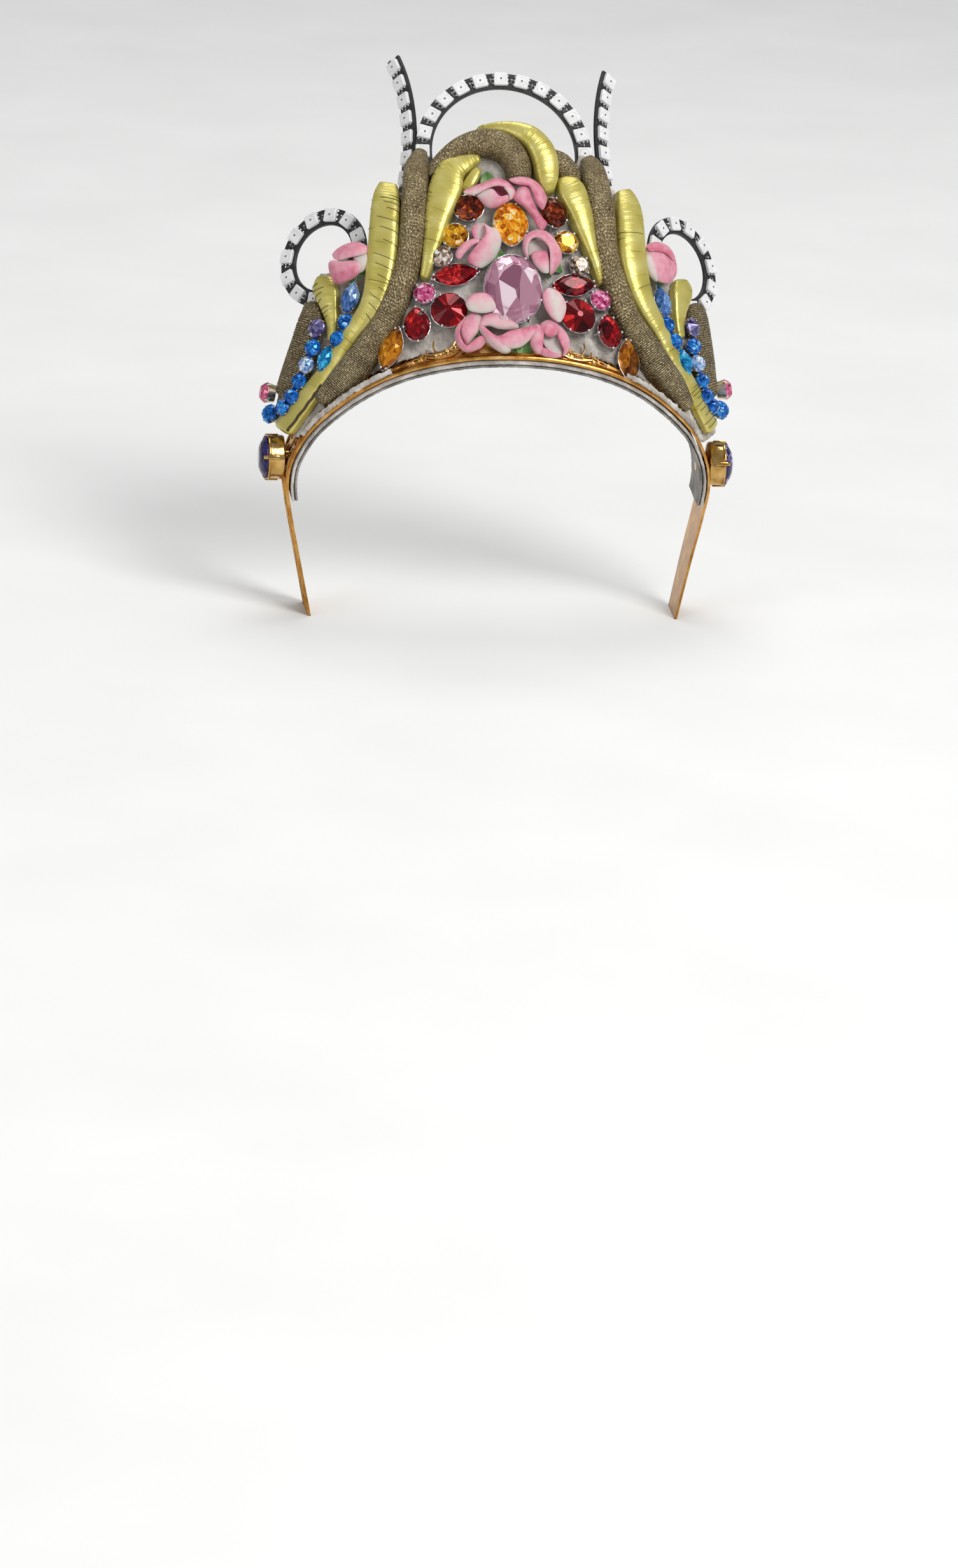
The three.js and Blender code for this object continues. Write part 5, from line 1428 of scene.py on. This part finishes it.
            (-7.5, 0.4, 4, -6.9, -2, 2.6, 0.3, 0), (-6, 1.6, 5, -5.6, -4.8, 2.4, 1.2, 0),
            (-2.3, 1, 5.4, -3.6, -7.3, 2.2, 1.8, 0), (1.4, 1.5, 5.4, -0.4, -7.4, 2.2, 1.8, 0),
            (4.6, 0.6, 4.8, 3.4, -5.2, 2.2, 1.2, 0.1), (5.8, -1.6, 4, 5.4, -3, 2.4, 0.3, 0.3))),
        ((0.85, 0.65, 0.45), (
            (-6.9, 3.8, 3.4, -5.6, 2, 4.4, 0.3, 0), (-3.8, 6.7, 3, -3.2, 1.4, 5.4, 1.2, 0),
            (0, 8.3, 2.8, 0, 2.3, 5.6, 1.6, 0), (3.6, 8.3, 2.6, 2.9, 2.9, 5.2, 1.4, 0),
            (6.6, 6.9, 2.4, 5.2, 3.6, 4.4, 0.9, 0.2), (7.2, 4.6, 2.2, 6.8, 4, 3, 0.2, 0.3))),
    ), ((-20, 8.6, 6), (-70, 8.6, 6), (30, 7.5, 5))),
    "rose_side_right": ((60.4, 33.4, -3), (
        ((0.2, 0.6, 0.75), (
            (-5.8, 9, 1.8, 2, 10.2, 1.8, 1.4, 0), (-7.6, 6, 1.8, 5.8, 7.8, 1.8, 3.2, 0),
            (-8, 2.6, 1.8, 7.2, 3.6, 1.8, 3.8, 0), (-7.2, -1, 1.8, 6.2, -1.6, 1.8, 3.2, 0),
            (-4.6, -4.6, 1.8, 1.6, -5.6, 1.8, 1.2, 0))),
        ((0.7, 0.8, 0.95), (
            (-6.4, 9, 2.2, -5, 6.4, 4.6, 0.4, 0), (-1, 10.5, 2.4, -1, 6.8, 6.2, 1, 0),
            (4.6, 9.1, 2.4, 2.8, 6, 6, 1, 0), (7.2, 4.8, 2.2, 5.6, 3.2, 4.6, 0.3, 0))),
        ((0.0, 0.05, 0.6), (
            (-7.4, 5.6, 2.2, -4, 5.2, 4.6, 0.3, 0), (-8.7, 2, 2.2, -2.8, 2, 6.2, 1, 0),
            (-7.8, -2, 2.2, -3.4, -1.6, 5.6, 1, 0.1), (-4.8, -4.8, 2.2, -3.8, -4.2, 3.6, 0.2, 0.1))),
    ), ((150, 9, 6), (195, 9, 6), (240, 8, 5))),
}
for name, (spot, petals, leaves) in ROSES.items():
    where = seat(spot[0], spot[1], proud=spot[2])
    parts = [petal(name + "_petal", where, dye, folds) for dye, folds in petals]
    for turn, long, wide in leaves:
        parts.append(leaf(name + "_leaf", where, long, wide, turn))
    settle(joined(name + "_bloom", parts), "rose_petal", name)

# Two loose white petals lie over the stones beside the lower roses.
LOOSE = (
    ((-8.8, 19.2, -1.2), (0.75, 0.2, 0.0), (
        (-7, 1, 2, -6.6, -0.8, 2, 0.2, 0), (-5.4, 3, 2.4, -5.6, -2.6, 2.6, 0.9, 0),
        (-3.2, 4.2, 2.6, -2.8, -3.4, 2.8, 1.2, 0), (-0.4, 4.4, 2.6, 0.6, -3.4, 2.8, 1.2, 0),
        (2.2, 3.5, 2.4, 3.4, -2.4, 2.6, 0.9, 0), (4, 0.8, 2, 4.1, -0.8, 2, 0.2, 0))),
    ((18.4, 18.6, -1.2), (0.7, 0.0, 0.35), (
        (-4.6, 6.9, 2, -2.8, 7.3, 2, 0.3, -0.2), (-6.1, 4.4, 2.4, 0, 6, 2.6, 0.9, -0.1),
        (-6.1, 2, 2.6, 1.8, 3.4, 2.8, 1.2, 0), (-5.4, -1.1, 2.6, 2.5, 0.4, 2.8, 1.2, 0),
        (-3.8, -3.8, 2.4, 1.6, -3, 2.6, 0.9, 0), (-1.4, -5.8, 2, -0.2, -5.8, 2, 0.2, 0))),
)
loose = [petal("loose_petal", seat(x, z, proud=deep), dye, folds) for (x, z, deep), dye, folds in LOOSE]
settle(joined("loose_petals", loose), "rose_petal")


# ---------------------------------------------------------------- floor, light and camera
# A plain pale studio floor, two large soft lights, and a long lens level with the tiara as it is worn.

FLOOR_MOTTLE = 1000 / 12                   # millimetres
floor_paint = mottled("floor_paint", "#f2f2f0", 0.6, 0.0, FLOOR_MOTTLE, (0.3, "#f0f0ee"), (0.7, "#f5f5f3"))
bpy.ops.mesh.primitive_plane_add(size=14)
named("studio_floor", floor_paint)

world = bpy.data.worlds.new("studio")
world.use_nodes = True
world.node_tree.nodes["Background"].inputs["Color"].default_value = linear("#f4f5f7")
world.node_tree.nodes["Background"].inputs["Strength"].default_value = 0.42
bpy.context.scene.world = world

LIGHTS = (
    {"name": "soft_key", "at": (0.9, -1.3, 1.5), "size": 0.9, "power": 27},
    {"name": "soft_fill", "at": (-1.4, -1.0, 0.7), "size": 0.9, "power": 4},
    {"name": "soft_top", "at": (0.1, 0.6, 1.6), "size": 1.0, "power": 10},
)
for light in LIGHTS:
    bpy.ops.object.light_add(type="AREA", location=light["at"])
    lamp = bpy.context.object
    lamp.name = light["name"]
    lamp.data.size = light["size"]
    lamp.data.energy = light["power"]
    lamp.rotation_euler = (Vector((0, 0, 0.1)) - lamp.location).to_track_quat("-Z", "Y").to_euler()

VIEW_AZIMUTH = math.radians(7.5)           # the lens stands to the left of the tiara's middle
VIEW_ROLL = math.radians(0.85)
VIEW_DISTANCE = 2000
VIEW_MIDDLE = Vector((-11.6, 0, -152))     # what the middle of the view looks at, across and up
VIEW_HEIGHT = 558.7                        # how much the view takes in, top to bottom
right = Vector((math.cos(VIEW_AZIMUTH), -math.sin(VIEW_AZIMUTH), 0))
toward = Vector((-math.sin(VIEW_AZIMUTH), -math.cos(VIEW_AZIMUTH), 0))
up = Vector((0, 0, 1))
right, up = (right * math.cos(VIEW_ROLL) + up * math.sin(VIEW_ROLL),
             up * math.cos(VIEW_ROLL) - right * math.sin(VIEW_ROLL))
eye = toward * VIEW_DISTANCE
target = right * VIEW_MIDDLE.x + up * VIEW_MIDDLE.z
look = (eye - target).normalized()
side = up.cross(look).normalized()
basis = Matrix((side, look.cross(side), look)).transposed().to_4x4()
camera = bpy.data.objects.new("camera", bpy.data.cameras.new("camera"))
bpy.context.collection.objects.link(camera)
turn = REST.to_3x3().normalized().to_4x4()
camera.matrix_world = Matrix.Translation(REST @ eye) @ turn @ basis
camera.data.sensor_width = 36
camera.data.lens = 36 * VIEW_DISTANCE / VIEW_HEIGHT
camera.data.clip_start = 0.1
camera.data.clip_end = 30
bpy.context.scene.camera = camera
bpy.context.scene.view_settings.view_transform = "Standard"
